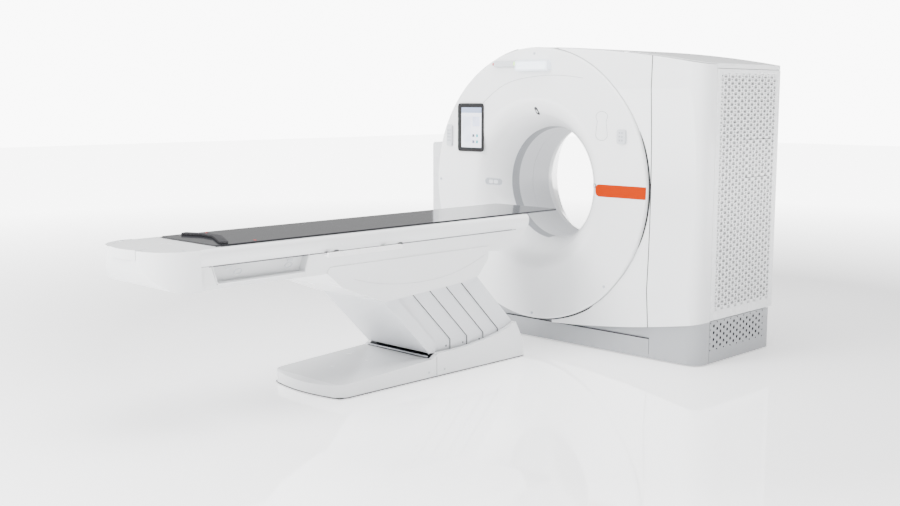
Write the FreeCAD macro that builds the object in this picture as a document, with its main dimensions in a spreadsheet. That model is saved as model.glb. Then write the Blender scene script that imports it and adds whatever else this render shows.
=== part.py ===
"""Medical CT scanner: a gantry with its rotating ring, and a lifting patient table.

FreeCAD 1.1 macro, millimetres.  The origin is on the floor, straight below the isocentre.
+X is the scanner's right side seen from the table, +Y runs from the table into the bore,
+Z is up.  Every driving dimension is a cell of the spreadsheet "Sizes".
"""
import FreeCAD, Part
import Sketcher
import math
import os
import types

Vector = FreeCAD.Vector
doc = FreeCAD.newDocument("ct_scanner")
sheet = doc.addObject("Spreadsheet::Sheet", "Sizes")

# ---------------------------------------------------------------- driving dimensions
DRIVING_SIZES = [
    # bore and covers of the gantry
    ("bore_radius", 350, "inside radius of the patient tunnel"),
    ("bore_height", 980, "isocentre above the floor"),
    ("disc_radius", 843, "outside radius of the round front cover"),
    ("disc_front", 450, "front face of the round cover, in front of the isocentre"),
    ("disc_depth", 32, "depth of the round cover's rim"),
    ("rim_rounding", 10, "rounding of the round cover's edge"),
    ("funnel_mouth", 540, "radius where the front funnel starts"),
    ("funnel_end", 180, "where the front funnel meets the tunnel, before the isocentre"),
    ("lip_radius", 140, "tight radius at the mouth of the front funnel"),
    ("tunnel_rear", 120, "rear end of the tunnel, behind the isocentre"),
    ("rear_mouth", 540, "radius of the rear funnel's mouth"),
    ("rear_disc_radius", 700, "outside radius of the rear cover"),
    ("cover_wall", 4, "wall of the moulded covers"),
    ("seam_gap", 3, "open seam between two covers"),
    ("body_front", 415, "front of the body covers at half height"),
    ("body_rear", 410, "rear face of the gantry"),
    ("right_side", 1190, "right flank of the gantry"),
    ("left_side", 960, "left flank of the gantry"),
    ("left_height", 1217, "height of the left side cover"),
    ("corner_seam", 854, "seam between the body cover and the corner cover"),
    ("corner_rounding", 95, "rounding of the right front corner"),
    ("corner_depth", 292, "where the corner cover meets the side panel"),
    ("crown_height", 1822, "top of the gantry over the isocentre"),
    ("shoulder_height", 1704, "top of the gantry at the right flank"),
    ("sweep_radius", 7400, "radius of the top and bottom outlines"),
    ("lower_crease", 410, "height of the lower crease in the front covers"),
    ("upper_crease", 1565, "height of the upper crease in the front covers"),
    ("crease_proud", 19, "how far the creases stand in front of the waist"),
    ("waist_radius", 8780, "radius of the front covers' hollow between the creases"),
    ("hem_height", 112, "lower edge of the body covers below the isocentre"),
    ("flank_hem_height", 255, "lower edge of the covers at the right flank"),
    # plinth and base
    ("plinth_front", 400, "front face of the plinth"),
    ("plinth_height", 118, "height of the kick panel"),
    ("plinth_rear", 370, "rear end of the side plinth"),
    ("plinth_wall", 3, "sheet of the plinth panels"),
    ("floor_gap", 6, "plinth panels above the floor"),
    ("frame_height", 110, "height of the welded base frame"),
    ("frame_beam", 90, "width of the base frame's beams"),
    ("anchor_hole", 9, "radius of the floor anchor holes"),
    ("grille_pitch", 36.3, "column pitch of the vent holes"),
    ("grille_step", 39.4, "row pitch of the vent holes"),
    ("vent_radius", 9.5, "radius of a plinth vent hole"),
    ("slot_radius", 6, "radius of a side panel vent hole"),
    # rotating ring
    ("rotor_radius", 755, "outside radius of the rotating ring"),
    ("rotor_bore", 388, "inside radius of the rotating ring"),
    ("rotor_front", 200, "front edge of the ring's rim, before the isocentre"),
    ("rotor_plate", 30, "front face of the ring's plate, behind the isocentre"),
    ("plate_thickness", 30, "thickness of the ring's plate"),
    ("race_radius", 500, "radius of the ball circle"),
    ("ball_radius", 12, "radius of a bearing ball"),
    ("ball_clearance", 0.08, "running clearance of the balls in their grooves"),
    ("slip_ring_outside", 505, "outside radius of the slip ring"),
    ("stator_radius", 800, "outside radius of the fixed bearing ring"),
    ("pulley_radius", 60, "radius of the drive motor's pulley"),
    ("belt_thickness", 5, "thickness of the drive belt"),
    ("fan_radius", 95, "radius of a cooling fan's wheel"),
    # patient table
    ("board_half", 245, "half the width of the patient board"),
    ("board_top", 849, "top of the patient board"),
    ("board_thickness", 9, "thickness of the patient board"),
    ("board_foot", 2937, "foot end of the board, before the isocentre"),
    ("board_head", 505, "head end of the board, before the isocentre"),
    ("rail_half", 300, "half the width over the side rails"),
    ("rail_top", 842, "top of the side rails"),
    ("rail_bottom", 763, "bottom of the side rails"),
    ("rail_head", 835, "head end of the side rails"),
    ("tray_half", 270, "half the width of the table's lower body"),
    ("tray_bottom", 652, "underside of the table's lower body"),
    ("table_foot", 3294, "foot end of the table"),
    ("skirt_half", 270, "half the width of the carrier skirt"),
    ("skirt_top", 683, "top edge of the carrier skirt"),
    ("base_half", 281, "half the width of the table base"),
    ("base_foot", 2293, "foot end of the table base"),
    ("base_head", 852, "head end of the table base"),
    ("well_half", 253, "half the width of the opening in the base cover"),
    ("pivot_height", 150, "lower pivots above the floor"),
    ("link_run", 425, "level distance between a link's two pivots"),
    ("link_rise", 425, "height between a link's two pivots"),
    ("front_pivot", 1578, "lower pivot of the front slant cover, before the isocentre"),
    ("blade_pivot", 1458, "lower pivot of the first side blade"),
    ("blade_pitch", 131, "distance between two blades' pivots"),
    ("rear_pivot", 928, "lower pivot of the rear slant cover"),
    ("blade_thickness", 2.4, "sheet of the side blades"),
    ("layer_pitch", 3, "distance from one blade's layer to the next"),
    ("pin_radius", 14, "radius of the lift pins"),
    ("pin_clearance", 0.05, "running clearance of the lift pins"),
]
for row, (alias, value, note) in enumerate(DRIVING_SIZES, start=1):
    sheet.set(f"A{row}", note)
    sheet.set(f"B{row}", str(value))
    sheet.setAlias(f"B{row}", alias)
doc.recompute()


class Size:
    """A length that knows both its number and its spreadsheet formula."""

    def __init__(self, number, formula):
        self.number = float(number)
        self.formula = formula

    def joined(self, sign, left, right):
        results = {"+": left.number + right.number, "-": left.number - right.number,
                   "*": left.number * right.number}
        number = results[sign] if sign in results else left.number / right.number
        return Size(number, f"({left.formula} {sign} {right.formula})")

    def __add__(self, other):
        return self.joined("+", self, as_size(other))

    def __radd__(self, other):
        return self.joined("+", as_size(other), self)

    def __sub__(self, other):
        return self.joined("-", self, as_size(other))

    def __rsub__(self, other):
        return self.joined("-", as_size(other), self)

    def __mul__(self, other):
        return self.joined("*", self, as_size(other))

    def __rmul__(self, other):
        return self.joined("*", as_size(other), self)

    def __truediv__(self, other):
        return self.joined("/", self, as_size(other))

    def __neg__(self):
        return Size(-self.number, f"(0 - {self.formula})")

    def root(self):
        """The square root."""
        return Size(math.sqrt(self.number), f"sqrt({self.formula})")


def as_size(value):
    """A plain number as a Size."""
    return value if isinstance(value, Size) else Size(value, f"({value:.6f})")


S = types.SimpleNamespace(**{alias: Size(value, f"Sizes.{alias}")
                             for alias, value, note in DRIVING_SIZES})
sub_parts = []


# ---------------------------------------------------------------- small builders
def bind(target, path, size):
    """Ties a property of an object to the sheet."""
    target.setExpression(path, as_size(size).formula)


def keep(feature, label):
    """Names a finished sub-part."""
    feature.Label = label
    sub_parts.append(feature)
    return feature


def block(name, x, y, z):
    """A box from three (low, high) pairs."""
    box = doc.addObject("Part::Box", name)
    for side, axis, (low, high) in zip(("Length", "Width", "Height"), "xyz", (x, y, z)):
        bind(box, side, as_size(high) - low)
        bind(box, f"Placement.Base.{axis}", low)
    return box


TURNS = {"X": FreeCAD.Rotation(Vector(0, 1, 0), 90), "Y": FreeCAD.Rotation(Vector(1, 0, 0), -90),
         "Z": FreeCAD.Rotation()}


def rod(name, axis, centre, radius, length):
    """A cylinder that starts at centre and runs along +axis."""
    cylinder = doc.addObject("Part::Cylinder", name)
    cylinder.Placement = FreeCAD.Placement(Vector(), TURNS[axis])
    bind(cylinder, "Radius", radius)
    bind(cylinder, "Height", length)
    for letter, value in zip("xyz", centre):
        bind(cylinder, f"Placement.Base.{letter}", value)
    return cylinder


def fused(name, pieces):
    """Several primitives welded into one."""
    weld = doc.addObject("Part::MultiFuse", name)
    weld.Shapes = pieces
    return weld


def grouped(name, pieces):
    """Several separate solids kept as one sub-part."""
    group = doc.addObject("Part::Compound", name)
    group.Links = pieces
    return group


def cut(name, base, tools):
    """One solid with the tools taken out of it."""
    tool = tools[0] if len(tools) == 1 else fused(name + "_tools", tools)
    result = doc.addObject("Part::Cut", name)
    result.Base = base
    result.Tool = tool
    return result


def arc_between(start, end, radius):
    """The short arc from start to end; a positive radius bulges to the left of travel."""
    chord = end - start
    half = chord.Length / 2
    sagitta = abs(radius) - math.sqrt(radius * radius - half * half)
    left = Vector(-chord.y, chord.x, 0).normalize()
    return Part.Arc(start, (start + end) / 2 + left * math.copysign(sagitta, radius), end)


def fix(sketch, kind, points, size):
    """Adds a dimension to a sketch and ties it to the sheet."""
    index = sketch.addConstraint(Sketcher.Constraint(kind, *points, as_size(size).number))
    sketch.setExpression(f"Constraints[{index}]", as_size(size).formula)


def draw_circle(sketch, u, v, radius):
    """A dimensioned circle."""
    centre = Vector(as_size(u).number, as_size(v).number, 0)
    ring = sketch.addGeometry(Part.Circle(centre, Vector(0, 0, 1), as_size(radius).number))
    fix(sketch, "DistanceX", (ring, 3), u)
    fix(sketch, "DistanceY", (ring, 3), v)
    fix(sketch, "Radius", (ring,), radius)


def draw_loop(sketch, corners):
    """A closed outline.  A corner is (u, v), or (u, v, radius) where an arc leaves it."""
    spots = [Vector(as_size(corner[0]).number, as_size(corner[1]).number, 0) for corner in corners]
    count = len(spots)
    ends = []
    for index, corner in enumerate(corners):
        start = spots[index]
        end = spots[(index + 1) % count]
        curved = len(corner) == 3
        edge = arc_between(start, end, as_size(corner[2]).number) if curved else Part.LineSegment(start, end)
        number = sketch.addGeometry(edge)
        starts_first = (sketch.getPoint(number, 1) - start).Length < 1e-4
        ends.append((number, 1, 2) if starts_first else (number, 2, 1))
    for index, corner in enumerate(corners):
        number, start_end, far_end = ends[index]
        next_number, next_start, unused = ends[(index + 1) % count]
        sketch.addConstraint(Sketcher.Constraint("Coincident", number, far_end, next_number, next_start))
        fix(sketch, "DistanceX", (number, start_end), corner[0])
        fix(sketch, "DistanceY", (number, start_end), corner[1])
        if len(corner) == 3:
            radius = as_size(corner[2])
            fix(sketch, "Radius", (number,), radius if radius.number > 0 else -radius)


# for each origin plane: the sign of its normal along the world axis that it faces
PLANE_SIGNS = {"XY_Plane": 1, "XZ_Plane": -1, "YZ_Plane": 1}


def sketch_in(body, name, plane, loops, lift=0):
    """A sketch on one of the body's own origin planes, lifted along the world axis."""
    sketch = body.newObject("Sketcher::SketchObject", name)
    face = next(item for item in body.Origin.OriginFeatures if item.Role == plane)
    sketch.AttachmentSupport = [(face, "")]
    sketch.MapMode = "FlatFace"
    bind(sketch, "AttachmentOffset.Base.z", PLANE_SIGNS[plane] * as_size(lift))
    for loop in loops:
        if len(loop) == 1:
            draw_circle(sketch, *loop[0])
        else:
            draw_loop(sketch, loop)
    return sketch


def add_slab(body, name, plane, loops, low, high):
    """A pad between two offsets along the plane's world axis."""
    near = low if PLANE_SIGNS[plane] > 0 else high
    pad = body.newObject("PartDesign::Pad", name)
    pad.Profile = sketch_in(body, name + "_sketch", plane, loops, near)
    bind(pad, "Length", as_size(high) - low)
    return pad


def cut_slab(body, name, plane, loops, low, high):
    """A pocket between two offsets along the plane's world axis."""
    far = high if PLANE_SIGNS[plane] > 0 else low
    pocket = body.newObject("PartDesign::Pocket", name)
    pocket.Profile = sketch_in(body, name + "_sketch", plane, loops, far)
    bind(pocket, "Length", as_size(high) - low)
    return pocket


def slab(name, plane, loops, low, high):
    """A body with one pad."""
    body = doc.addObject("PartDesign::Body", name)
    add_slab(body, name + "_pad", plane, loops, low, high)
    return body


def turned(name, outline, start=None, sweep=360):
    """A body turned about the bore axis from an outline of (radius, y) corners.

    A sector starts at the angle start, counted from +X up, and sweeps down from there.
    """
    body = doc.addObject("PartDesign::Body", name)
    profile = sketch_in(body, name + "_sketch", "XY_Plane", [outline])
    turn = body.newObject("PartDesign::Revolution", name + "_turn")
    turn.Profile = profile
    turn.ReferenceAxis = (profile, ["V_Axis"])
    turn.Angle = sweep
    body.Placement = FreeCAD.Placement(Vector(), FreeCAD.Rotation(Vector(0, 1, 0), -(start or 0)))
    bind(body, "Placement.Base.z", S.bore_height)
    return body


def washer(low_radius, high_radius, front, back):
    """The outline of a plain ring."""
    return [(low_radius, front), (high_radius, front), (high_radius, back), (low_radius, back)]


def rectangle(low_u, high_u, low_v, high_v):
    """The outline of a rectangle."""
    return [(low_u, low_v), (high_u, low_v), (high_u, high_v), (low_u, high_v)]


def spoke_box(name, angle, radii, width, depths):
    """A box on the rotating ring, centred on the given angle."""
    box = doc.addObject("Part::Box", name)
    turn = math.radians(angle)
    box.Placement = FreeCAD.Placement(Vector(), FreeCAD.Rotation(Vector(0, 1, 0), -angle))
    for side, (low, high) in zip(("Length", "Width"), (radii, depths)):
        bind(box, side, as_size(high) - low)
    bind(box, "Height", width)
    half = as_size(width) / 2
    bind(box, "Placement.Base.x", math.cos(turn) * as_size(radii[0]) + math.sin(turn) * half)
    bind(box, "Placement.Base.y", depths[0])
    bind(box, "Placement.Base.z", S.bore_height + math.sin(turn) * as_size(radii[0]) - math.cos(turn) * half)
    return box


def paired(name, build):
    """The same piece on both sides of the table, as one node of two solids."""
    pair = doc.addObject("Part::Compound", name)
    pair.Links = [build(f"{name}_{side}", sign) for side, sign in (("left", -1), ("right", 1))]
    return pair


def across(sign, inner, outer):
    """The (low, high) pair of X for a piece on one side."""
    return (inner, outer) if sign > 0 else (-as_size(outer), -as_size(inner))


def ahead(distance):
    """A place in front of the isocentre."""
    return -as_size(distance)


# ---------------------------------------------------------------- gantry frame
def gantry_frame():
    """Welded base frame, its levelling feet and the fixed ring that carries the bearing."""
    beam = S.frame_beam
    half = beam / 2
    reach = 720
    beams = [block(f"long_beam_{sign}", (-reach - half, reach + half), (sign * 290 - half, sign * 290 + half),
                   (0, S.frame_height)) for sign in (-1, 1)]
    beams += [block(f"cross_beam_{place}", (place - half, place + half), (-290, 290), (0, S.frame_height))
              for place in (-reach, 0, reach)]
    beams.append(block("cabinet_outrigger", (reach, S.right_side - 60), (-290, 290), (0, S.frame_height)))
    anchors = [rod(f"anchor_{x}_{y}", "Z", (x, y, -1), S.anchor_hole, S.frame_height + 2)
               for x in (-reach, reach) for y in (-290, 290)]
    keep(cut("gantry_base_frame", fused("base_weldment", beams), anchors), "gantry_base_frame")

    plate = (80, 120)
    ring = rod("stator_ring", "Y", (0, plate[0], S.bore_height), S.stator_radius, plate[1] - plate[0])
    legs = [block(f"stator_leg_{sign}", (sign * 480 - 90, sign * 480 + 90), (70, 130),
                  (S.frame_height, S.bore_height - 500)) for sign in (-1, 1)]
    sole = block("stator_sole", (-572, 572), (0, 190), (S.frame_height, S.frame_height + 20))
    bore = rod("stator_bore", "Y", (0, 60, S.bore_height), S.race_radius + 45.3, 80)
    keep(cut("stator_frame", fused("stator_weldment", [ring] + legs + [sole]), [bore]), "stator_frame")


def main_bearing():
    """Outer and inner race with a ball circle between them."""
    groove = S.ball_radius + S.ball_clearance
    middle = 93
    outer = turned("bearing_outer", washer(S.race_radius + 8.5, S.race_radius + 45, 66, 120))
    inner = turned("bearing_inner", washer(S.race_radius - 40, S.race_radius - 8.5, 60, 130))
    for body in (outer, inner):
        groove_cut = body.newObject("PartDesign::Groove", body.Name + "_groove")
        groove_cut.Profile = sketch_in(body, body.Name + "_groove_sketch", "XY_Plane",
                                       [[(S.race_radius, middle, groove)]])
        groove_cut.ReferenceAxis = (groove_cut.Profile[0], ["V_Axis"])
        groove_cut.Angle = 360
    keep(outer, "bearing_outer_race")
    keep(inner, "bearing_inner_race")
    count = 60
    balls = []
    for number in range(count):
        angle = 2 * math.pi * number / count
        ball = doc.addObject("Part::Sphere", f"ball_{number}")
        bind(ball, "Radius", S.ball_radius)
        bind(ball, "Placement.Base.x", math.cos(angle) * S.race_radius)
        bind(ball, "Placement.Base.z", S.bore_height + math.sin(angle) * S.race_radius)
        bind(ball, "Placement.Base.y", middle)
        balls.append(ball)
    keep(grouped("bearing_balls", balls), "bearing_balls")


# ---------------------------------------------------------------- rotating ring
def rotating_ring():
    """Drum, slip ring, tube, detector and the boxes that turn with them."""
    back = S.rotor_plate + S.plate_thickness
    rim = 20
    drum = turned("rotor_drum", [
        (S.rotor_bore, -120), (S.rotor_bore + 12, -120), (S.rotor_bore + 12, S.rotor_plate),
        (S.rotor_radius - rim, S.rotor_plate), (S.rotor_radius - rim, ahead(S.rotor_front)),
        (S.rotor_radius, ahead(S.rotor_front)), (S.rotor_radius, back), (S.rotor_bore, back)])
    hole = drum.newObject("PartDesign::Pocket", "drum_hole")
    hole.Profile = sketch_in(drum, "drum_hole_sketch", "XZ_Plane",
                             [[((S.rotor_radius + S.race_radius) / 2, 0, 34)]], S.rotor_plate - 5)
    bind(hole, "Length", S.plate_thickness + 10)
    holes = drum.newObject("PartDesign::PolarPattern", "drum_holes")
    holes.Originals = [hole]
    holes.Axis = (next(item for item in drum.Origin.OriginFeatures if item.Role == "Y_Axis"), [""])
    holes.Angle = 360
    holes.Occurrences = 16
    drum.Tip = holes
    keep(drum, "rotor_drum")

    ring = turned("slip_ring", washer(S.rotor_bore + 8, S.slip_ring_outside, 130, 150))
    for track in range(4):
        groove = ring.newObject("PartDesign::Groove", f"track_{track}")
        low = S.rotor_bore + 22 + 24 * track
        groove.Profile = sketch_in(ring, f"track_sketch_{track}", "XY_Plane", [washer(low, low + 16, 147, 152)])
        groove.ReferenceAxis = (groove.Profile[0], ["V_Axis"])
        groove.Angle = 360
    keep(ring, "slip_ring")

    arm = spoke_box("brush_arm", 300, (S.rotor_bore + 20, S.stator_radius - 220), 70, (160, 190))
    foot = spoke_box("brush_foot", 300, (S.stator_radius - 250, S.stator_radius - 215), 70, (120, 190))
    brushes = [spoke_box(f"brush_{track}", 300, (S.rotor_bore + 25 + 24 * track, S.rotor_bore + 35 + 24 * track),
                         40, (147.05, 160)) for track in range(4)]
    keep(fused("brush_block", [arm, foot] + brushes), "brush_block")

    tube_centre = S.bore_height + 600
    shell = rod("tube_shell", "Y", (0, -190, tube_centre), 108, S.rotor_plate + 190)
    neck = rod("tube_neck", "Y", (0, -215, tube_centre), 62, 25)
    port = block("tube_port", (-60, 60), (-110, -10), (tube_centre - 125, tube_centre))
    keep(fused("x_ray_tube", [shell, neck, port]), "x_ray_tube")

    body = block("collimator_body", (-95, 95), (-125, S.rotor_plate), (tube_centre - 195, tube_centre - 126))
    beam = block("collimator_slot", (-60, 60), (-75, -45), (tube_centre - 200, tube_centre - 120))
    keep(cut("collimator", body, [beam]), "collimator")

    supplies = []
    for angle in (152, 28):
        core = spoke_box(f"supply_core_{angle}", angle, (430, 716), 300, (-170, S.rotor_plate))
        lid = spoke_box(f"supply_lid_{angle}", angle, (442, 704), 276, (-178, -170))
        supplies.append(fused(f"supply_{angle}", [core, lid]))
    keep(grouped("hv_generators", supplies), "hv_generators")

    core = spoke_box("cooler_core", 62, (440, 700), 130, (-140, S.rotor_plate))
    fins = [spoke_box(f"cooler_gap_{number}", 62, (455 + 24 * number, 465 + 24 * number), 140, (-141, -60))
            for number in range(10)]
    keep(cut("tube_cooler", core, fins), "tube_cooler")

    cells = turned("detector_cells", washer(505, 548, -110, S.rotor_plate), 308, 76)
    readout = turned("detector_readout", washer(549, 640, -95, S.rotor_plate), 306, 72)
    keep(grouped("detector_arc", [cells, readout]), "detector_arc")
    weights = [turned(f"counterweight_{start}", washer(640, 725, -90, S.rotor_plate), start, 22)
               for start in (214, 348)]
    keep(grouped("counterweights", weights), "counterweights")


def ring_drive():
    """Belt from the motor pulley round the ring's rim."""
    motor_x = 690
    motor_drop = 560
    gap = 0.3
    centre_z = S.bore_height - motor_drop
    pulley = rod("pulley_wheel", "Y", (motor_x, 20, centre_z), S.pulley_radius, 44)
    shaft = rod("pulley_shaft", "Y", (motor_x, 64, centre_z), 14, 60)
    keep(fused("motor_pulley", [pulley, shaft]), "motor_pulley")
    case = rod("motor_case", "Y", (motor_x, 124.3, centre_z), 95, 180)
    flange = block("motor_flange", (motor_x - 110, motor_x + 110), (124.3, 140),
                   (centre_z - 110, centre_z + 110))
    stand = block("motor_stand", (motor_x - 80, motor_x + 80), (140, 290), (S.frame_height, centre_z))
    bore = rod("motor_bore", "Y", (motor_x, 120, centre_z), 14 + S.pin_clearance, 20)
    foot = block("motor_foot", (motor_x - 110, motor_x + 110), (135, 300), (S.frame_height, S.frame_height + 15))
    keep(cut("drive_motor", fused("motor_body", [case, flange, stand, foot]), [bore]), "drive_motor")

    big = S.rotor_radius.number + gap
    small = S.pulley_radius.number + gap
    span = math.hypot(motor_x, motor_drop)
    lean = math.asin((big - small) / span)
    heading = math.atan2(-motor_drop, motor_x)

    def loop(extra):
        """The belt's line as a wire, this far outside the two pulleys."""
        wheels = [(0, 0, big + extra), (motor_x, -motor_drop, small + extra)]
        spots = []
        for sign in (1, -1):
            normal = heading + sign * (math.pi / 2 - lean)
            spots.append([Vector(x + r * math.cos(normal), 25, z + r * math.sin(normal)) for x, z, r in wheels])
        far_big = Vector(-(big + extra) * math.cos(heading), 25, -(big + extra) * math.sin(heading))
        far_small = Vector(motor_x + (small + extra) * math.cos(heading), 25,
                           -motor_drop + (small + extra) * math.sin(heading))
        edges = [Part.LineSegment(spots[0][0], spots[0][1]), Part.Arc(spots[0][1], far_small, spots[1][1]),
                 Part.LineSegment(spots[1][1], spots[1][0]), Part.Arc(spots[1][0], far_big, spots[0][0])]
        return Part.Wire([edge.toShape() for edge in edges])

    belt = doc.addObject("Part::Feature", "drive_belt")
    face = Part.Face([loop(S.belt_thickness.number), loop(0)], "Part::FaceMakerBullseye")
    belt.Shape = face.extrude(Vector(0, 30, 0))
    bind(belt, "Placement.Base.z", S.bore_height)
    keep(belt, "drive_belt")


# ---------------------------------------------------------------- electronics cabinet
def cabinet():
    """Power unit, computer, fan tray and fans inside the right flank."""
    rack = (870, S.right_side - 70)
    side = S.right_side - 40
    shelf = block("shelf_plate", rack, (-252, 332), (1000, 1010))
    posts = [block(f"shelf_post_{y}", rack, (y, y + 20), (S.frame_height, 1600)) for y in (-272, 332)]
    unit = block("power_unit", rack, (-252, 332), (S.frame_height, 720))
    keep(fused("equipment_rack", [shelf, unit] + posts), "equipment_rack")
    heights = (1180, 1440)
    frame = block("fan_plate", (side - 50, side), (-252, 332), (1050, 1570))
    wells = [rod(f"fan_well_{z}", "X", (side - 60, 30, z), S.fan_radius + 8, 80) for z in heights]
    spiders = [block(f"fan_strut_{z}", (side - 50, side - 44), (30 - 110, 30 + 110), (z - 9, z + 9))
               for z in heights]
    hubs = [rod(f"fan_motor_{z}", "X", (side - 50, 30, z), 30, 16) for z in heights]
    pins = [rod(f"fan_pin_{z}", "X", (side - 34, 30, z), 5, 24) for z in heights]
    tray = fused("fan_tray", [cut("fan_frame", frame, wells)] + spiders + hubs + pins)
    keep(tray, "fan_tray")
    for number, z in enumerate(heights, start=1):
        hub = rod(f"hub_{number}", "X", (side - 32, 30, z), 32, 26)
        blades = []
        for blade in range(7):
            vane = doc.addObject("Part::Box", f"vane_{number}_{blade}")
            bind(vane, "Length", 3)
            bind(vane, "Width", 34)
            bind(vane, "Height", S.fan_radius - 26)
            spin = FreeCAD.Rotation(Vector(1, 0, 0), 360 / 7 * blade)
            pitch = FreeCAD.Rotation(Vector(0, 0, 1), 55)
            vane.Placement = FreeCAD.Placement(Vector(), spin * pitch)
            offset = spin.multVec(Vector(30, -10, 26))
            for letter, place in zip("xyz", (side - 32 + offset.x, 30 + offset.y, z + offset.z)):
                bind(vane, f"Placement.Base.{letter}", place)
            blades.append(vane)
        bore = rod(f"hub_bore_{number}", "X", (side - 40, 30, z), 5 + S.pin_clearance, 40)
        keep(cut(f"fan_wheel_{number}", fused(f"fan_rotor_{number}", [hub] + blades), [bore]),
             f"fan_wheel_{number}")


# ---------------------------------------------------------------- gantry covers
def rounded(low_u, high_u, low_v, high_v, radius):
    """A rectangle with round corners."""
    return [(low_u + radius, low_v), (high_u - radius, low_v, -radius), (high_u, low_v + radius),
            (high_u, high_v - radius, -radius), (high_u - radius, high_v),
            (low_u + radius, high_v, -radius), (low_u, high_v - radius), (low_u, low_v + radius, -radius)]


def round_covers():
    """Front disc with its funnel, tunnel liners, scan window and rear funnel."""
    front = ahead(S.disc_front)
    wall = S.cover_wall
    reach = S.funnel_mouth - S.bore_radius
    depth = S.disc_front - S.funnel_end
    lip = S.lip_radius
    throat = (reach * reach + depth * depth - 2 * depth * lip) / (2 * reach - 2 * lip)
    lip_centre = (S.funnel_mouth, front + lip)
    lean = ((lip_centre[0] - S.bore_radius - throat) / (throat - lip),
            (lip_centre[1] + S.funnel_end) / (throat - lip))

    def meeting(inset):
        """Where the lip arc meets the throat arc, on a skin this far inside."""
        return [lip_centre[axis] + (lip - inset) * lean[axis] for axis in (0, 1)]

    outside = meeting(0)
    inside = meeting(wall)
    rim = S.rim_rounding
    keep(turned("front_cover", [
        (S.disc_radius, front + S.disc_depth), (S.disc_radius, front + rim, rim), (S.disc_radius - rim, front),
        (S.funnel_mouth, front, lip), (outside[0], outside[1], throat), (S.bore_radius, ahead(S.funnel_end)),
        (S.bore_radius + wall, ahead(S.funnel_end), wall - throat), (inside[0], inside[1], wall - lip),
        (S.funnel_mouth, front + wall), (S.disc_radius - wall, front + wall),
        (S.disc_radius - wall, front + S.disc_depth)]), "front_cover")

    window = (-78, -42)
    liner = (S.bore_radius, S.bore_radius + wall)
    rings = [turned("tunnel_front", washer(*liner, ahead(S.funnel_end), window[0])),
             turned("scan_window", washer(S.bore_radius + 1, S.bore_radius + 3, *window)),
             turned("tunnel_rear", washer(*liner, window[1], S.tunnel_rear))]
    keep(grouped("tunnel_liner", rings), "tunnel_liner")

    back = S.body_rear
    keep(turned("rear_cover", [
        (S.bore_radius, S.tunnel_rear, 121), (S.bore_radius + 16, S.tunnel_rear + 60),
        (S.rear_mouth - 52, back - 30, 60), (S.rear_mouth, back), (S.rear_disc_radius, back),
        (S.rear_disc_radius, back - wall), (S.rear_mouth, back - wall, -56),
        (S.rear_mouth - 48.5, back - 32), (S.bore_radius + 19.5, S.tunnel_rear + 58, -110),
        (S.bore_radius + wall, S.tunnel_rear)]), "rear_cover")


def front_skin(inset, low, high):
    """The front covers' section, (y, z) corners from the hem up, set back by inset."""
    waist = ahead(S.body_front) + inset
    return [(waist + 12, low), (waist - S.crease_proud, S.lower_crease, -S.waist_radius),
            (waist - S.crease_proud, S.upper_crease), (waist - 8, high)]


def flipped(corners):
    """The same outline travelled the other way."""
    turned_round = []
    for index in range(len(corners) - 1, -1, -1):
        before = corners[index - 1] if index > 0 else ()
        bulge = (-before[2],) if len(before) == 3 else ()
        turned_round.append((corners[index][0], corners[index][1]) + bulge)
    return turned_round


def hem_loop(drop):
    """Everything below the covers' lower edge, in the front view."""
    return [(-60, S.hem_height - drop, -S.sweep_radius), (S.right_side + 20, S.flank_hem_height - drop),
            (S.right_side + 20, -50), (-60, -50)]


def crown_loop(drop):
    """Everything above the covers' upper edge, in the front view."""
    return [(-60, S.crown_height - drop, S.sweep_radius), (S.right_side + 20, S.shoulder_height - drop - 7),
            (S.right_side + 20, 2400), (-60, 2400)]


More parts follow.
